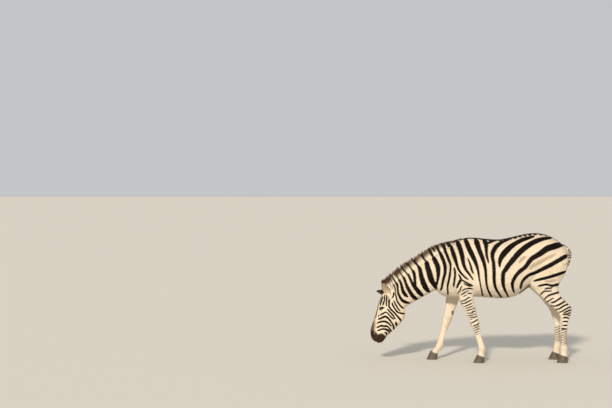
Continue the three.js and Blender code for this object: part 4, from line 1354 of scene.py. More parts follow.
# Where the mane grows from and how far it stands, as (x, z) in millimetres from the forelock to the withers.
MANE_ROOTS = [(-930, 680), (-912, 715), (-893, 748), (-868, 772), (-838, 790), (-756, 862), (-652, 934),
              (-540, 1008), (-430, 1080), (-330, 1144), (-248, 1192), (-176, 1224), (-95, 1262)]
MANE_TIPS = [(-938, 700), (-928, 745), (-922, 795), (-942, 843), (-884, 897), (-806, 962), (-706, 1036),
             (-596, 1104), (-486, 1172), (-380, 1228), (-289, 1254), (-208, 1268), (-106, 1299)]
MANE_LOCKS = 8600
MANE_CLUMPS = 170
MANE_RINGS = 4
# Half the thickness of the mane in millimetres, and its share of that along the neck.
MANE_HALF, MANE_CORE_HALF = 15, 12.5
MANE_ALONG = [0, 0.1, 0.2, 0.85, 1]
MANE_SHARES, MANE_CORE_SHARES = [0.3, 0.7, 1, 0.85, 0.35], [0.25, 0.6, 1, 0.8, 0.25]
MANE_ROOT_DEPTH = 0.10  # how far the locks begin under their roots, as a share of their length
MANE_SHORTEST, MANE_ROUNDED = 0.80, 0.06  # shares of its height: the shortest lock's, and lost at the sides
MANE_DRAWN = 0.45  # how much the tips of a clump are drawn together
MANE_UNEVEN = 0.045  # how much the clumps differ in height
LOCK_HALF, LOCK_END_HALF = 1.7, 0.22


def mane_marks(points, share, rise):
    """Dark bands, brown tips and the rusty front of the mane. rise is 0 at the root and 1 at the tip."""
    places = on_chart(points, NECK_DEPTH) + np.stack([wander(points, 60, 31), wander(points, 60, 32)], 1) * 2
    value = np.maximum(inside_stripes(places, MANE_STRIPES, 8), inside_stripes(places, NECK_STRIPES, 0.8))
    value = np.maximum(value, FULL_DARK * smoothstep(0.12, 0.05, share) - 1)
    height = rise + 0.10 * wander(points, 40, 33)
    brown = 0.97 * smoothstep(0.34, 0.64, height)
    rusty = 0.9 * smoothstep(0.54, 0.38, share) * smoothstep(0.04, 0.15, share)
    return {"stripe": value * MM, "tips": brown, "rust": rusty * smoothstep(0.40, 0.66, height)}


def add_mane(material):
    """The upright mane and forelock: locks drawn together in clumps."""
    turn = np.random.default_rng(21)
    roots, tips = curve(MANE_ROOTS, 8), curve(MANE_TIPS, 8)
    steps = np.linspace(0, 1, len(roots))
    share = turn.uniform(0, 1, MANE_LOCKS) ** 0.94
    clump = np.floor(share * MANE_CLUMPS + turn.uniform(-0.4, 0.4, MANE_LOCKS))
    clump = clump.clip(0, MANE_CLUMPS - 1).astype(int)
    drawn = share + MANE_DRAWN * ((clump + 0.5) / MANE_CLUMPS - share)
    root = np.stack([np.interp(share, steps, roots[:, k]) for k in (0, 1)], 1)
    tip = np.stack([np.interp(drawn, steps, tips[:, k]) for k in (0, 1)], 1)
    half = MANE_HALF * np.interp(share, MANE_ALONG, MANE_SHARES)
    off = turn.uniform(-1, 1, MANE_LOCKS)
    off = np.sign(off) * np.sqrt(np.abs(off))
    reach = MANE_SHORTEST + 0.20 * turn.uniform(0, 1, MANE_LOCKS) ** 0.7 - MANE_ROUNDED * off**2
    reach = reach + turn.normal(0, MANE_UNEVEN, MANE_CLUMPS)[clump]
    start = np.stack([root[:, 0], off * half, root[:, 1]], 1)
    way = tip - root
    end = start.copy()
    end[:, 0] += way[:, 0] * reach + turn.normal(0, 2.0, MANE_LOCKS) + turn.normal(0, 2.5, MANE_CLUMPS)[clump]
    end[:, 2] += way[:, 1] * reach + turn.normal(0, 1.5, MANE_LOCKS)
    end[:, 1] += off * half * 0.08 + turn.normal(0, 1.5, MANE_LOCKS)
    start = start - (end - start) * MANE_ROOT_DEPTH
    t = np.linspace(0, 1, MANE_RINGS)
    bow = np.stack([turn.normal(0, 2.0, MANE_LOCKS), turn.normal(0, 1.2, MANE_LOCKS), 0 * off], 1)
    paths = start[:, None] + (end - start)[:, None] * t[:, None] + bow[:, None] * (4 * t * (1 - t))[:, None]
    widths = (LOCK_HALF * (1 - t) ** 0.75 + LOCK_END_HALF) * turn.uniform(0.8, 1.25, MANE_LOCKS)[:, None]
    flat_points = paths.reshape(-1, 3)
    rise = (reach[:, None] * t).reshape(-1)
    middle = np.repeat(start + (end - start) * 0.3, MANE_RINGS, 0)
    marks = mane_marks(0.5 * middle + 0.5 * flat_points, np.repeat(share, MANE_RINGS), rise)
    places = np.stack([share * 0.99, 0.01 + 0.5 * (off > 0)], 1)
    across = np.tile([0.86, 0.0, 0.5], (MANE_LOCKS, 1)) + turn.normal(0, 0.16, (MANE_LOCKS, 3))
    hair_piece("mane_hair", (paths, widths, 0.4, across), places, 0.48, material, marks, ["mane"])
    add_mane_core(roots, tips, material)


# The cut of the core: how far up the mane each of its points is, how thick it is there, how far up it looks.
CORE_UP = np.array([-0.15, 0, 0.76, 0.76, 0, -0.15])
CORE_THICK = np.array([-1, -1, -0.5, 0.5, 1, 1])
CORE_RISE = [0.0, 0.0, 0.7, 0.7, 0.0, 0.0]


def add_mane_core(roots, tips, material):
    """A solid core in the mane, that keeps the light from coming through."""
    steps = np.linspace(0, 1, len(roots))
    count, around = len(roots), len(CORE_UP)
    thick = MANE_CORE_HALF * np.interp(steps, MANE_ALONG, MANE_CORE_SHARES)
    middle = roots[:, None] + (tips - roots)[:, None] * CORE_UP[:, None]
    core = np.stack([middle[:, :, 0], CORE_THICK * thick[:, None], middle[:, :, 1]], 2)
    faces = []
    for r in range(count - 1):
        for k in range(around):
            a, b = r * around + k, r * around + (k + 1) % around
            faces.append((a, b, b + around, a + around))
    faces = np.array(faces)
    mesh = make_mesh("mane_core", metres(core.reshape(-1, 3)), faces.ravel(), np.full(len(faces), 4))
    height = np.tile(CORE_RISE, count)
    for key, values in mane_marks(core.reshape(-1, 3), np.repeat(steps, around), height).items():
        set_attribute(mesh, key, values)
    make_piece("mane_core", mesh, material)


# The tail tuft's middle and reach, as (x, y, z, reach) in millimetres from its root to its end.
TAIL_TUFT = [(934, 150, 830, 11), (924, 168, 795, 15), (917, 193, 742, 21), (916, 214, 670, 26),
             (918, 226, 590, 28), (922, 232, 515, 25), (924, 234, 455, 16), (924, 234, 424, 5)]
TAIL_LOCKS = 2300
TAIL_RINGS = 8
TAIL_CLUMPS = 3.2  # to each radian about the tail
TAIL_DRAWN = 0.55  # how much the locks of a clump are drawn together
TAIL_LOCK_HALF, TAIL_LOCK_END = 1.9, 0.25


def add_tail(material):
    """The long hair of the tail, in hanging clumps."""
    turn = np.random.default_rng(41)
    line = curve(TAIL_TUFT, 6)
    steps = np.linspace(0, 1, len(line))
    begin = turn.uniform(0, 1, TAIL_LOCKS) ** 1.3 * 0.30
    finish = 0.62 + 0.38 * turn.uniform(0, 1, TAIL_LOCKS) ** 0.6
    t = np.linspace(0, 1, TAIL_RINGS)
    at = begin[:, None] + (finish - begin)[:, None] * t
    centre = np.stack([np.interp(at, steps, line[:, k]) for k in range(3)], 2)
    reach = np.interp(at, steps, line[:, 3])
    angle = turn.uniform(0, 2 * math.pi, TAIL_LOCKS)
    spread = np.sqrt(turn.uniform(0.05, 1, TAIL_LOCKS)) * turn.choice([1.0, 1.25], TAIL_LOCKS, p=[0.85, 0.15])
    clump = np.round(angle * TAIL_CLUMPS) / TAIL_CLUMPS
    angle = angle + TAIL_DRAWN * (clump - angle)
    swirl = angle[:, None] + 0.25 * turn.normal(0, 1, TAIL_LOCKS)[:, None] * t
    swirl = swirl + 0.5 * np.sin(5 * t + 3 * clump[:, None])
    grow = np.interp(t, [0, 0.15, 1], [0.45, 0.9, 1.0])
    size = reach * spread[:, None] * grow
    paths = centre + np.stack([np.cos(swirl) * size, np.sin(swirl) * size, 0 * size], 2)
    widths = (TAIL_LOCK_HALF * (1 - t) ** 0.6 + TAIL_LOCK_END) * turn.uniform(0.8, 1.2, TAIL_LOCKS)[:, None]
    places = np.stack([angle / 7, 0.01 + 0 * angle], 1)
    marks = {
        "stripe": np.full(paths.shape[:2], FULL_DARK * MM),
        "tips": np.tile(0.3 + 0.5 * t, (TAIL_LOCKS, 1)),
    }
    across = turn.normal(0, 1, (TAIL_LOCKS, 3))
    hair_piece("tail_hair", (paths, widths, 0.9, across), places, 0.9, material, marks, ["tail_tuft"])


def triangle_samples(mesh, density, chosen, seed):
    """Random places on the mesh: the three points of each place's triangle, and the three shares."""
    turn = np.random.default_rng(seed)
    mesh.calc_loop_triangles()
    faces = np.empty(len(mesh.loop_triangles) * 3, np.int32)
    mesh.loop_triangles.foreach_get("vertices", faces)
    faces = faces.reshape(-1, 3)
    faces = faces[chosen[faces].all(1)]
    points = arrays_of(mesh)[0][faces]
    area = np.linalg.norm(np.cross(points[:, 1] - points[:, 0], points[:, 2] - points[:, 0]), axis=1) / 2
    wanted = area * density[faces].mean(1)
    number = np.floor(wanted + turn.uniform(0, 1, len(wanted))).astype(int)
    owner = np.repeat(np.arange(len(faces)), number)
    a, b = turn.uniform(0, 1, (2, len(owner)))
    flip = a + b > 1
    a[flip], b[flip] = 1 - a[flip], 1 - b[flip]
    return faces[owner], np.stack([1 - a - b, a, b], 1)


def spread_lie(mesh, start, steps):
    """Evens out the directions given at the points of the mesh."""
    edges = edges_of(mesh)
    way = start
    for _ in range(steps):
        total = way * 1.0
        for k in range(3):
            total[:, k] += np.bincount(edges[:, 0], way[edges[:, 1], k], len(way))
            total[:, k] += np.bincount(edges[:, 1], way[edges[:, 0], k], len(way))
        way = unit(total)
    return way


# The way the hair lies on each part. On the head it lies away from a whorl, at (down, back) from the eyes.
LIES = {
    TRUNK: (1.0, 0.0, -0.38),
    NECK: (0.82, 0.0, 0.02),
    HEAD: (1.0, 0.0, -0.38),
    FORELEG: (0.10, 0.0, -1.0),
    HINDLEG: (0.10, 0.0, -1.0),
    TAIL: (0.0, 0.1, -1.0),
}
WHORL = -34, -30
LIE_STEPS, LIE_WANDER = 30, 0.16


def lie_of_coat(mesh):
    """The way the hair lies at each point of the skin."""
    p = body_mm(arrays_of(mesh)[0])
    normals = normals_of(mesh)
    part = body_part(p)
    out = np.sign(p[:, 1])
    lie = np.empty((len(p), 3))
    for number, way in LIES.items():
        lie[part == number] = way
    whorl = EYE * [1, 0, 1] + HEAD_DOWN * WHORL[0] + HEAD_BACK * WHORL[1]
    lie = np.where((part == HEAD)[:, None], p - whorl, lie)
    share = near_ear(p)[0]
    for one in (LEFT, RIGHT):
        _, long, _, _ = ear_frame(one)
        lie = np.where(((share > 0) & (out == one))[:, None], long, lie)
    lie = spread_lie(mesh, unit(lie), LIE_STEPS)
    lie += LIE_WANDER * wander_3d(p, 75, 51)
    return unit(lie - normals * (lie * normals).sum(1, keepdims=True))


# Length, half width and rise of the tufts in millimetres, and their number to the square metre.
TUFTS = {
    "trunk": (15.0, 1.15, 2.9, 76000),
    "leg": (9.5, 0.9, 1.8, 115000),
    "head": (7.0, 0.75, 1.3, 175000),
    "ear": (6.5, 0.6, 1.2, 170000),
}
TUFT_MIDDLE = 0.42  # where along a tuft it is widest
TUFT_MIDDLE_RISE = 0.62  # how far it has risen there, as a share of its rise
TUFT_DEPTH = 0.5  # how deep in the skin it begins, in millimetres
TUFT_TURN = 0.13  # how far it strays from the lie of the coat
TUFT_LENGTHS, TUFT_WIDTHS, TUFT_RISES = (0.72, 1.22), (0.8, 1.2), (0.55, 1.0)  # as shares of its size
STRIPE_STRAY, DUSK_STRAY = 0.9, 0.3  # how far a tuft's colour strays from its place's
MUZZLE_SHORTER, MUZZLE_LOWER = 0.35, 0.45  # what a tuft loses of its length and rise on the muzzle


def tuft_settings(p):
    """The four tuft values at each point."""
    down, _, _ = head_place(p)
    part = body_part(p)
    share = near_ear(p)[0]
    on_head = smoothstep(-230, -120, down) * (p[:, 0] < HEAD_REAR)
    on_leg = smoothstep(720, 540, p[:, 2]) * ((part == FORELEG) | (part == HINDLEG))
    values = np.tile(TUFTS["trunk"], (len(p), 1))
    values = values + on_leg[:, None] * (np.array(TUFTS["leg"]) - TUFTS["trunk"])
    values = values + on_head[:, None] * (np.array(TUFTS["head"]) - TUFTS["trunk"])
    values[share > 0] = TUFTS["ear"]
    muzzle = smoothstep(225, 290, down) * on_head
    values[:, 0] *= 1 - MUZZLE_SHORTER * muzzle
    values[:, 2] *= 1 - MUZZLE_LOWER * muzzle
    return values


def round_share(across, ahead):
    """How far round an axis each place is, from 0 to 1, given how far it is across and ahead of it."""
    return np.arctan2(across, ahead) / (2 * math.pi) + 0.5


# The axes and lengths of the cylinders that the coat is unrolled from for the bake map.
TRUNK_AXIS, TRUNK_REAR, TRUNK_LONG = 1000, 260, 1400
NECK_BASE, NECK_WAY, NECK_LONG = (860, 640), (0.86, 0.51), 900
NECK_AXIS, NECK_AXIS_CLIMB = (760, 700), 0.45
HEAD_AXIS, HEAD_TOP, HEAD_LONG = 70, 300, 760
LEG_AXIS, LEG_LONG, LEG_SHARE = 122, 960, 0.48
TAIL_AXIS, TAIL_LONG, TAIL_SHARE = (1000, 60), 1300, 0.1
MAP_END = 0.996


def unwrap(p, part):
    """A place for each point on cylinders about the trunk, the neck, the head and each leg, from 0 to 1."""
    x, y, z = p[:, 0], p[:, 1], p[:, 2]
    places = np.stack([round_share(y, TRUNK_AXIS - z), (x + TRUNK_REAR) / TRUNK_LONG], 1)
    neck = part == NECK
    along = (x + NECK_BASE[0]) * NECK_WAY[0] + (z - NECK_BASE[1]) * NECK_WAY[1]
    middle = NECK_AXIS[1] + (x + NECK_AXIS[0]) * NECK_AXIS_CLIMB
    places[neck, 0] = round_share(y, middle - z)[neck]
    places[neck, 1] = (along / NECK_LONG)[neck]
    down, back, _ = head_place(p)
    head = part == HEAD
    places[head, 0] = round_share(y, back - HEAD_AXIS)[head]
    places[head, 1] = ((down + HEAD_TOP) / HEAD_LONG)[head]
    for kind, joints in ((FORELEG, FORE_JOINTS), (HINDLEG, HIND_JOINTS)):
        for one in (LEFT, RIGHT):
            leg = (part == kind) & (np.sign(y) == one)
            bones = np.array(joints[one], float)[::-1]
            middle = np.interp(z, bones[:, 1], bones[:, 0])
            turn = round_share(y - one * LEG_AXIS, x - middle)
            places[leg, 0] = (turn * LEG_SHARE + (0.5 if one == RIGHT else 0))[leg]
            places[leg, 1] = (z / LEG_LONG)[leg]
    tail = part == TAIL
    places[tail, 0] = round_share(y - TAIL_AXIS[1], x - TAIL_AXIS[0])[tail] * TAIL_SHARE
    places[tail, 1] = (z / TAIL_LONG)[tail]
    return np.clip(places, 0, MAP_END)


# Where no tufts stand: inside the lids, at the nostrils and lips, and under the hair over the hooves.
BARE_LID, BARE_NOSTRIL, BARE_NOSTRIL_GROWS, BARE_LIPS, BARE_FOOT = 1.38, 9, 3.5, 4, 60
# The four points of a tuft on the bake map, as shares of its patch.
DIAMOND = np.array([(0.5, 0), (0, 0.42), (1, 0.42), (0.5, 1)])


def bare_places(p):
    """Which points of the skin carry no tufts."""
    edge, reach = eye_plane(p)[:2]
    head = np.stack(head_place(p), 1)
    (mouth_gap, _), (nostril_gap, nostril_along) = openings(head)
    down, side = head[:, 0], head[:, 2]
    bare = (edge < BARE_LID) & (reach < EYE_AREA)
    by_nostril = nostril_gap < BARE_NOSTRIL + BARE_NOSTRIL_GROWS * nostril_along
    bare |= (down > NOSTRIL_TOP) & by_nostril & (side > NOSTRIL_SIDE)
    bare |= (down > MOUTH_TOP) & (mouth_gap < BARE_LIPS)
    bare |= p[:, 2] < BARE_FOOT
    return bare


def add_coat(skin_mesh, material):
    """Short tufts over the whole skin, each two triangles, in one piece for each part of the body."""
    points = arrays_of(skin_mesh)[0]
    normals = normals_of(skin_mesh)
    lie = lie_of_coat(skin_mesh)
    p = body_mm(points)
    settings = tuft_settings(p)
    bare = bare_places(p)
    faces, shares = triangle_samples(skin_mesh, np.where(bare, 0, settings[:, 3]), ~bare, 61)
    turn = np.random.default_rng(62)

    def mixed(values):
        return (values[faces] * shares[:, :, None]).sum(1)

    root, normal, way = mixed(points), unit(mixed(normals)), mixed(lie)
    root_mm = body_mm(root)
    size = mixed(settings)
    way = way + turn.normal(0, TUFT_TURN, (len(root), 3))
    way = unit(way - normal * (way * normal).sum(1, keepdims=True))
    wide = np.cross(normal, way)
    length = size[:, :1] * turn.uniform(*TUFT_LENGTHS, (len(root), 1)) * MM
    half = size[:, 1:2] * turn.uniform(*TUFT_WIDTHS, (len(root), 1)) * MM
    rise = size[:, 2:3] * turn.uniform(*TUFT_RISES, (len(root), 1)) * MM
    part = body_part(root_mm)
    part[near_ear(root_mm)[0] > 0] = HEAD
    base = root - normal * TUFT_DEPTH * MM
    middle = root + way * length * TUFT_MIDDLE + normal * rise * TUFT_MIDDLE_RISE
    tip = root + way * length + normal * rise
    marks = marks_and_shade(body_mm(root + way * length * 0.5))
    marks["stripe"] = marks["stripe"] + turn.normal(0, STRIPE_STRAY, len(root)) * MM
    partly = marks["dark_skin_and_shade"] * (1 - marks["dark_skin_and_shade"]) * 4
    marks["dark_skin_and_shade"] = np.clip(marks["dark_skin_and_shade"] + partly * turn.uniform(-DUSK_STRAY, DUSK_STRAY, len(root)), 0, 1)
    marks["hue"] = turn.uniform(0, 1, len(root))
    places = unwrap(root_mm, part)
    on_left = root_mm[:, 1] < 0
    regions = [
        ("coat_trunk_left", (part == TRUNK) & on_left),
        ("coat_trunk_right", (part == TRUNK) & ~on_left),
        ("coat_neck", part == NECK),
        ("coat_head", part == HEAD),
        ("coat_forelegs", part == FORELEG),
        ("coat_hindlegs", part == HINDLEG),
        ("coat_tail", part == TAIL),
    ]
    for name, chosen in regions:
        count = int(chosen.sum())
        quad = np.stack([base, middle - wide * half, middle + wide * half, tip], 1)[chosen].reshape(-1, 3)
        block = np.arange(count)[:, None] * 4
        corners = np.concatenate([block + [0, 2, 1], block + [1, 2, 3]], 1).ravel()
        mesh = make_mesh(name, quad, corners, np.full(count * 2, 3))
        bake_map(mesh, (places[chosen][:, None] + DIAMOND * PATCH).reshape(-1, 2))
        for key, values in marks.items():
            set_attribute(mesh, key, np.repeat(values[chosen], 4))
        make_piece(name, mesh, material)


# Fine hairs by piece: how many to the square metre, their length and half width in millimetres, how they
# bend, whether they are dark, how brown their tips are, and the seed.
LOOSE_HAIRS = {
    "lashes": (5e5, 13, 0.4, (-0.1, 0, -0.3), True, 0, 71),
    "whiskers": (2200, 26, 0.35, (0, 0, -0.25), True, 0.6, 73),
    "ear_hair_left": (42000, 24, 0.55, (0, 0, 0), False, 0.25, 75),
    # The far ear's hair is dark as painted shade. The near ear's is light.
    "ear_hair_right": (42000, 24, 0.55, (0, 0, 0), True, 0.25, 75),
    "fetlock_hair": (60000, 24, 0.8, (0.05, 0, -0.3), False, 0.5, 77),
    "coronet_hair": (90000, 17, 0.75, (0, 0, -0.15), False, 0.45, 79),
}
LOOSE_RINGS = 5


def add_loose_hairs(name, skin_mesh, chosen, way, material):
    """Fine hairs that stand this way on the chosen points of the skin."""
    number, length, half, bend, dark, tips, seed = LOOSE_HAIRS[name]
    p, normals = body_mm(arrays_of(skin_mesh)[0]), normals_of(skin_mesh)
    faces, shares = triangle_samples(skin_mesh, np.where(chosen, number, 0.0), chosen, seed)
    turn = np.random.default_rng(seed + 1)
    root = (p[faces] * shares[:, :, None]).sum(1) - (normals[faces] * shares[:, :, None]).sum(1)
    out = unit((way[faces] * shares[:, :, None]).sum(1)) + turn.normal(0, 0.12, (len(root), 3))
    size = length * turn.uniform(0.6, 1.1, (len(root), 1, 1))
    t = np.linspace(0, 1, LOOSE_RINGS)[:, None]
    paths = root[:, None] + unit(out)[:, None] * size * t + np.array(bend) * size * t**2
    widths = np.tile(half * (1 - t[:, 0]) ** 0.7 + 0.06, (len(root), 1))
    marks = {
        "stripe": np.full(paths.shape[:2], (FULL_DARK if dark else -FULL_DARK) * MM),
        "tips": np.tile(tips * t[:, 0], (len(root), 1)),
        "rust": np.zeros(paths.shape[:2]),
    }
    places = unwrap(root, body_part(root))
    across = turn.normal(0, 1, (len(root), 3))
    hair_piece(name, (paths, widths, 0.7, across), places, PATCH, material, marks)


def add_trimmings(skin_mesh, material):
    """Lashes, whiskers, the hair in the ears, behind the fetlocks and over the hooves."""
    p, normals = body_mm(arrays_of(skin_mesh)[0]), normals_of(skin_mesh)
    lie, part = lie_of_coat(skin_mesh), body_part(p)
    down, back, side = head_place(p)
    edge, reach, _, ahead, _, b = eye_plane(p)
    upper_lid = (edge > 0.98) & (edge < 1.26) & (b > 0) & (reach < 44) & (ahead > 0)
    outward = np.stack([np.full(len(p), -0.34), 0.92 * np.sign(p[:, 1]), np.full(len(p), -0.1)], 1)
    add_loose_hairs("lashes", skin_mesh, upper_lid, outward + 0.4 * normals, material)
    whiskered = (part == HEAD) & ((down > 285) | (down > 250) & (back > 90)) & (side > 8)
    add_loose_hairs("whiskers", skin_mesh, whiskered, normals * 1.2 + lie, material)
    share, inner, _ = near_ear(p)
    far = p[:, 1] > 0
    for word, one in SIDES.items():
        _, long, mouth, _ = ear_frame(one)
        inside = (inner > 0.5) & (share > 0.10) & (share < 0.72) & (far == (one == RIGHT))
        out = np.tile(long + 0.5 * mouth, (len(p), 1)) + 0.4 * normals
        add_loose_hairs(f"ear_hair_{word}", skin_mesh, inside, out, material)
    legs = (part == FORELEG) | (part == HINDLEG)
    fetlock = legs & (p[:, 2] > 118) & (p[:, 2] < 175) & (normals[:, 0] > 0.55)
    add_loose_hairs("fetlock_hair", skin_mesh, fetlock, lie + 0.35 * normals, material)
    coronet = legs & (p[:, 2] < 78) & (p[:, 2] > 50)
    add_loose_hairs("coronet_hair", skin_mesh, coronet, lie + 0.30 * normals, material)


# ---- Eyes and hooves ----
EYE_AROUND, EYE_RINGS = 64, 40
RING_POWER = 1.25  # the rings of an eyeball lie closer together in front
EYE_INSET = 0.3  # how much smaller the eyeball is than its socket
CORNEA_RISE, CORNEA_REACH = 0.6, 0.62  # the bulge in front, and the angle it fades out at
PUPIL_HALF = (8.2, 4.6)
PUPIL_TURN = (0.91, 0.41)  # cosine and sine of the pupil's tilt, that keeps it level with the ground
IRIS_RADIUS = 13.4
NO_IRIS = 40  # how far outside the iris the back of the eyeball counts as


def add_eye(side, material):
    """An eyeball with a low bulge in front, and where its iris and its wide pupil are."""
    centre = EYE * [1, side, 1]
    look = unit(EYE_LOOK * [1, side, 1])
    long = unit(np.cross([0, 0, 1], look))
    high = np.cross(look, long)
    radius = EYE_RADIUS - EYE_INSET
    points = [centre + look * (EYE_RADIUS + CORNEA_RISE)]
    for r in range(1, EYE_RINGS):
        angle = math.pi * (r / EYE_RINGS) ** RING_POWER
        bulge = CORNEA_RISE * math.exp(-((angle / CORNEA_REACH) ** 4))
        for k in range(EYE_AROUND):
            turn = 2 * math.pi * k / EYE_AROUND
            flat = long * math.cos(turn) + high * math.sin(turn)
            points.append(centre + (look * math.cos(angle) + flat * math.sin(angle)) * (radius + bulge))
    points.append(centre - look * radius)
    points = np.array(points)
    corners, totals = [], []
    last = 1 + (EYE_RINGS - 2) * EYE_AROUND
    for k in range(EYE_AROUND):
        step = (k + 1) % EYE_AROUND
        corners += [0, 1 + k, 1 + step]
        corners += [last + step, last + k, len(points) - 1]
        totals += [3, 3]
        for a in range(1, last, EYE_AROUND):
            corners += [a + step, a + k, a + EYE_AROUND + k, a + EYE_AROUND + step]
            totals.append(4)
    word = "left" if side == LEFT else "right"
    mesh = turned_outward(make_mesh(f"eye_ball_{word}", metres(points), corners, totals))
    off = points - centre
    a, b, ahead = off @ long, off @ high, off @ look
    tilt = a * PUPIL_TURN[0] + b * PUPIL_TURN[1] * side
    lift = b * PUPIL_TURN[0] - a * PUPIL_TURN[1] * side
    pupil = 1 - np.sqrt((tilt / PUPIL_HALF[0]) ** 2 + (lift / PUPIL_HALF[1]) ** 2)
    set_attribute(mesh, "pupil", pupil * (ahead > 0))
    set_attribute(mesh, "iris", (IRIS_RADIUS - np.hypot(a, b)) * (ahead > 0) - NO_IRIS * (ahead <= 0))
    make_piece(f"eye_ball_{word}", mesh, material, [f"eye_{word}"])


def eye_material():
    """A dark iris and a darker pupil under a little wet gloss."""
    m = Nodes("wet_eye")
    iris = m.blend(m.noise(1.2, 3.0), colour("0c0704"), colour("1f1209"))
    ball = m.blend(m.ramp(m.attribute("iris"), -0.6, 0.8), colour("1c120e"), iris)
    ball = m.blend(m.ramp(m.attribute("pupil"), -0.08, 0.10), ball, colour("050405"))
    m.link(ball, m.shader.inputs["Base Color"])
    m.shader.inputs["Roughness"].default_value = 0.08
    m.shader.inputs["Specular IOR Level"].default_value = 0.2
    m.shader.inputs["Coat Weight"].default_value = 0.1
    m.shader.inputs["Coat Roughness"].default_value = 0.03
    return m.material


def hair_material(name):
    """Long hair: dark and light stripes, brown tips, and rust where the mane has it."""
    m = Nodes(name)
    stripe = m.ramp(m.attribute("stripe"), -HAIR_EDGE * MM, HAIR_EDGE * MM)
    uneven = m.noise(12.0, 2.0)
    light = m.blend(m.noise(9.0, 2.0), colour("fff7e4"), colour("f1e3c4"))
    dark = m.blend(uneven, SOOT, BROWN)
    light_tips = m.blend(uneven, colour("7d6040"), colour("503823"))
    dark_tips = m.blend(uneven, colour("3a2417"), colour("22140d"))
    light_hair = m.blend(m.attribute("tips"), light, light_tips)
    dark_hair = m.blend(m.attribute("tips"), dark, dark_tips)
    hair = m.blend(stripe, light_hair, dark_hair)
    hair = m.blend(m.attribute("rust"), hair, m.blend(uneven, colour("59372a"), colour("301d16")))
    m.link(hair, m.shader.inputs["Base Color"])
    m.shader.inputs["Roughness"].default_value = 0.55
    m.shader.inputs["Specular IOR Level"].default_value = 0.2
    return m.material


def horn_material():
    """Streaked horn with dark growth rings, light where it is worn."""
    m = Nodes("hoof_horn")
    streak = m.noise(16.0, 3.0, (1, 1, 0.15))
    ring = m.ramp(m.attribute("ring"), 0.0, 1.0)
    horn = m.blend(streak, colour("42372d"), colour("766652"))
    horn = m.blend(m.value("MULTIPLY", ring, 0.4), horn, colour("2a2420"))
    horn = m.blend(m.attribute("worn"), horn, colour("8c7c66"))
    m.link(horn, m.shader.inputs["Base Color"])
    m.shader.inputs["Roughness"].default_value = 0.48
    m.bump(streak, 0.15, 0.5)
    return m.material


HOOF_AROUND = 72
HOOF_HEIGHTS = 30
# Sizes of a hoof's outline at the coronet and the sole. The coronet rises from the heel to the toe.
CORONET = {"toe": 42, "heel": 41, "half": 39, "power": 2.2}
SOLE = {"toe": 80, "heel": 34, "half": 46, "power": 2.35}
CORONET_RISE = 12
# Rings hidden in the skin above the coronet, as (how far inside, how far up), and the wall's size there.
HIDDEN = [(16, 16), (7, 9), (2.5, 3)]
HIDDEN_SIZE, WALL_SIZE = 40, 44
# Rings of the sole as (share of its size, height).
UNDERSIDE = [(0.985, 0), (0.86, 0), (0.82, 2.5), (0.6, 5), (0.35, 6), (0.12, 6)]
CLEFT_DEPTH, CLEFT_HALF = 6.5, 0.30  # the hollow of the heel, with its half width in radians
GROWTH_RINGS, GROWTH_UNEVEN, GROWTH_RISE = 36, 9, 0.22
LIP_RISE, LIP_SHARE = 1.2, 0.06  # the roll of the wall at the coronet
SOLE_CENTRE = 20  # how far ahead of the coronet's centre
FROG_TIP, FROG_SPREAD, FROG_HEIGHT = 26, 0.36, 4.5


def outline(sizes, ahead, out):
    """A level outline of a hoof as x and y, and the place of each point from the heel, -1, to the toe, 1."""
    front = np.sign(ahead) * np.abs(ahead) ** (2 / sizes["power"])
    side = np.sign(out) * np.abs(out) ** (2 / sizes["power"])
    reach = np.where(front > 0, sizes["toe"], sizes["heel"])
    return -front * reach, side * sizes["half"], front


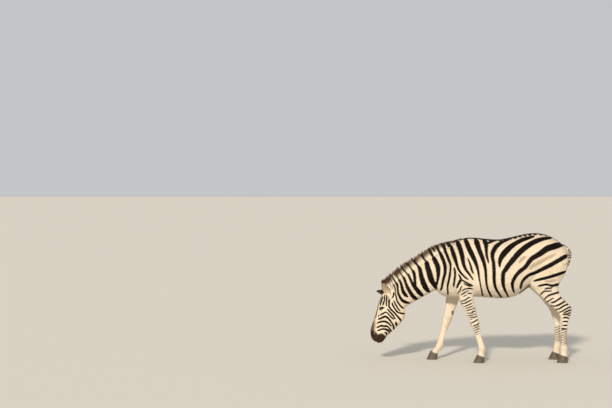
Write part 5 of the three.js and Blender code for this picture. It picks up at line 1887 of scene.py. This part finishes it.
def add_hoof(name, node, x, z, y, material):
    """A hoof wall with growth rings and a split heel, over a sole with its frog."""
    turn = np.arange(HOOF_AROUND) / HOOF_AROUND * 2 * math.pi
    ahead, out = np.cos(turn), np.sin(turn)
    rings, ringed, worn = [], [], []
    tx, ty, front = outline(CORONET, ahead, out)
    top_z = z + CORONET_RISE * front
    bx, by, _ = outline(SOLE, ahead, out)
    cleft = CLEFT_DEPTH * np.exp(-(((turn - math.pi) / CLEFT_HALF) ** 2))
    for inside, up in HIDDEN:
        scale = 1 - inside / HIDDEN_SIZE
        rings.append(np.stack([x + tx * scale, y + ty * scale, top_z + up], 1))
        ringed.append(np.zeros(HOOF_AROUND))
        worn.append(np.full(HOOF_AROUND, 0.25))
    for t in np.linspace(0, 1, HOOF_HEIGHTS):
        growth = math.sin(t * GROWTH_RINGS + math.sin(t * GROWTH_UNEVEN))
        wave = GROWTH_RISE * growth * (1 - t) ** 0.3 + LIP_RISE * math.exp(-((t / LIP_SHARE) ** 2))
        scale = 1 + wave / WALL_SIZE
        px = (tx + (bx - tx) * t) * scale
        py = (ty + (by - ty) * t) * scale
        px = px - np.where(ahead < 0, cleft * t**0.5, 0)
        rings.append(np.stack([x + px, y + py, top_z * (1 - t)], 1))
        ringed.append(np.full(HOOF_AROUND, 0.5 + 0.5 * growth))
        worn.append(np.full(HOOF_AROUND, max(0.35 - t * 4, (t - 0.86) * 3, 0)))
    wall = rings[-1]
    middle = np.array([x - SOLE_CENTRE, y, 0])
    for scale, up in UNDERSIDE:
        ring = middle + (wall - middle) * [scale, scale, 0]
        back = ring[:, 0] - middle[0]
        beside = np.abs(ring[:, 1] - y) - FROG_SPREAD * (back + FROG_TIP)
        frog = smoothstep(4, -4, beside) * (back > -FROG_TIP)
        ring[:, 2] = up - min(up, FROG_HEIGHT) * frog
        rings.append(ring)
        ringed.append(np.zeros(HOOF_AROUND))
        worn.append(np.full(HOOF_AROUND, 0.5))
    points = np.concatenate(rings)
    corners, totals = [], []
    last = len(points) - HOOF_AROUND
    for a in range(0, last, HOOF_AROUND):
        for k in range(HOOF_AROUND):
            step = (k + 1) % HOOF_AROUND
            corners += [a + k, a + step, a + HOOF_AROUND + step, a + HOOF_AROUND + k]
            totals.append(4)
    corners += list(range(HOOF_AROUND))[::-1]
    corners += list(range(last, len(points)))
    totals += [HOOF_AROUND, HOOF_AROUND]
    mesh = turned_outward(make_mesh(name, metres(points), corners, totals))
    set_attribute(mesh, "ring", np.concatenate(ringed))
    set_attribute(mesh, "worn", np.concatenate(worn))
    make_piece(name, mesh, material, [node])


skin_mesh = build_skin()
BACK_LINE = highest_line(skin_mesh)
give_marks_and_shade(skin_mesh)
make_piece("skin", skin_mesh, coat_material("short_coat", True), FLESH + ["ear_left", "ear_right"])
add_coat(skin_mesh, coat_material("coat_tufts", False))
long_hair = hair_material("long_hair")
add_mane(long_hair)
add_tail(long_hair)
add_trimmings(skin_mesh, long_hair)
wet_eye = eye_material()
horn = horn_material()
for word, side in SIDES.items():
    add_eye(side, wet_eye)
    fore_x, fore_z = FORE_JOINTS[side][-1]
    hind_x, hind_z = HIND_JOINTS[side][-1]
    add_hoof(f"hoof_wall_fore_{word}", f"hoof_fore_{word}", fore_x, fore_z, side * FORE_Y[-1], horn)
    add_hoof(f"hoof_wall_hind_{word}", f"hoof_hind_{word}", hind_x, hind_z, side * HIND_Y[-1], horn)


# ---- Floor, light and camera ----
FLOOR_HALF = 400  # metres
SUN_STRENGTH, SUN_COLOUR, SUN_WIDTH = 2.8, (1.0, 0.91, 0.79), 6  # its width in degrees
SUN_WAY = (0.27, 0.82, -0.50)  # the way the light goes
SKY_STRENGTH = 0.64
LENS, SENSOR = 67.06, 36.0
LOOK_DOWN = 0.603  # degrees

floor_mesh = bpy.data.meshes.new("floor")
floor_corners = [(x * FLOOR_HALF, y * FLOOR_HALF, 0) for x, y in ((-1, -1), (1, -1), (1, 1), (-1, 1))]
floor_mesh.from_pydata(floor_corners, [], [(0, 1, 2, 3)])
floor = bpy.data.objects.new("floor", floor_mesh)
bpy.context.scene.collection.objects.link(floor)
floor_mesh.materials.append(plain_material("studio_floor", "dad5ca", 0.9, 0.1))
sun = bpy.data.lights.new("key", "SUN")
sun.energy, sun.color, sun.angle = SUN_STRENGTH, SUN_COLOUR, math.radians(SUN_WIDTH)
sun_object = bpy.data.objects.new("key", sun)
bpy.context.scene.collection.objects.link(sun_object)
sun_object.rotation_euler = Vector(SUN_WAY).to_track_quat("-Z", "Y").to_euler()
world = bpy.data.worlds.new("studio")
world.use_nodes = True
world.node_tree.nodes["Background"].inputs["Color"].default_value = colour("eef0f2")
world.node_tree.nodes["Background"].inputs["Strength"].default_value = SKY_STRENGTH
bpy.context.scene.world = world
bpy.context.scene.view_settings.view_transform = "Standard"
bpy.context.scene.view_settings.look = "None"

camera = bpy.data.cameras.new("camera")
camera.lens, camera.sensor_width = LENS, SENSOR
camera_object = bpy.data.objects.new("camera", camera)
bpy.context.scene.collection.objects.link(camera_object)
camera_object.location = (VIEW[0] * MM + SHIFT, VIEW[1] * MM, VIEW[2] * MM)
camera_object.rotation_euler = (math.radians(90 - LOOK_DOWN), 0, 0)
bpy.context.scene.camera = camera_object
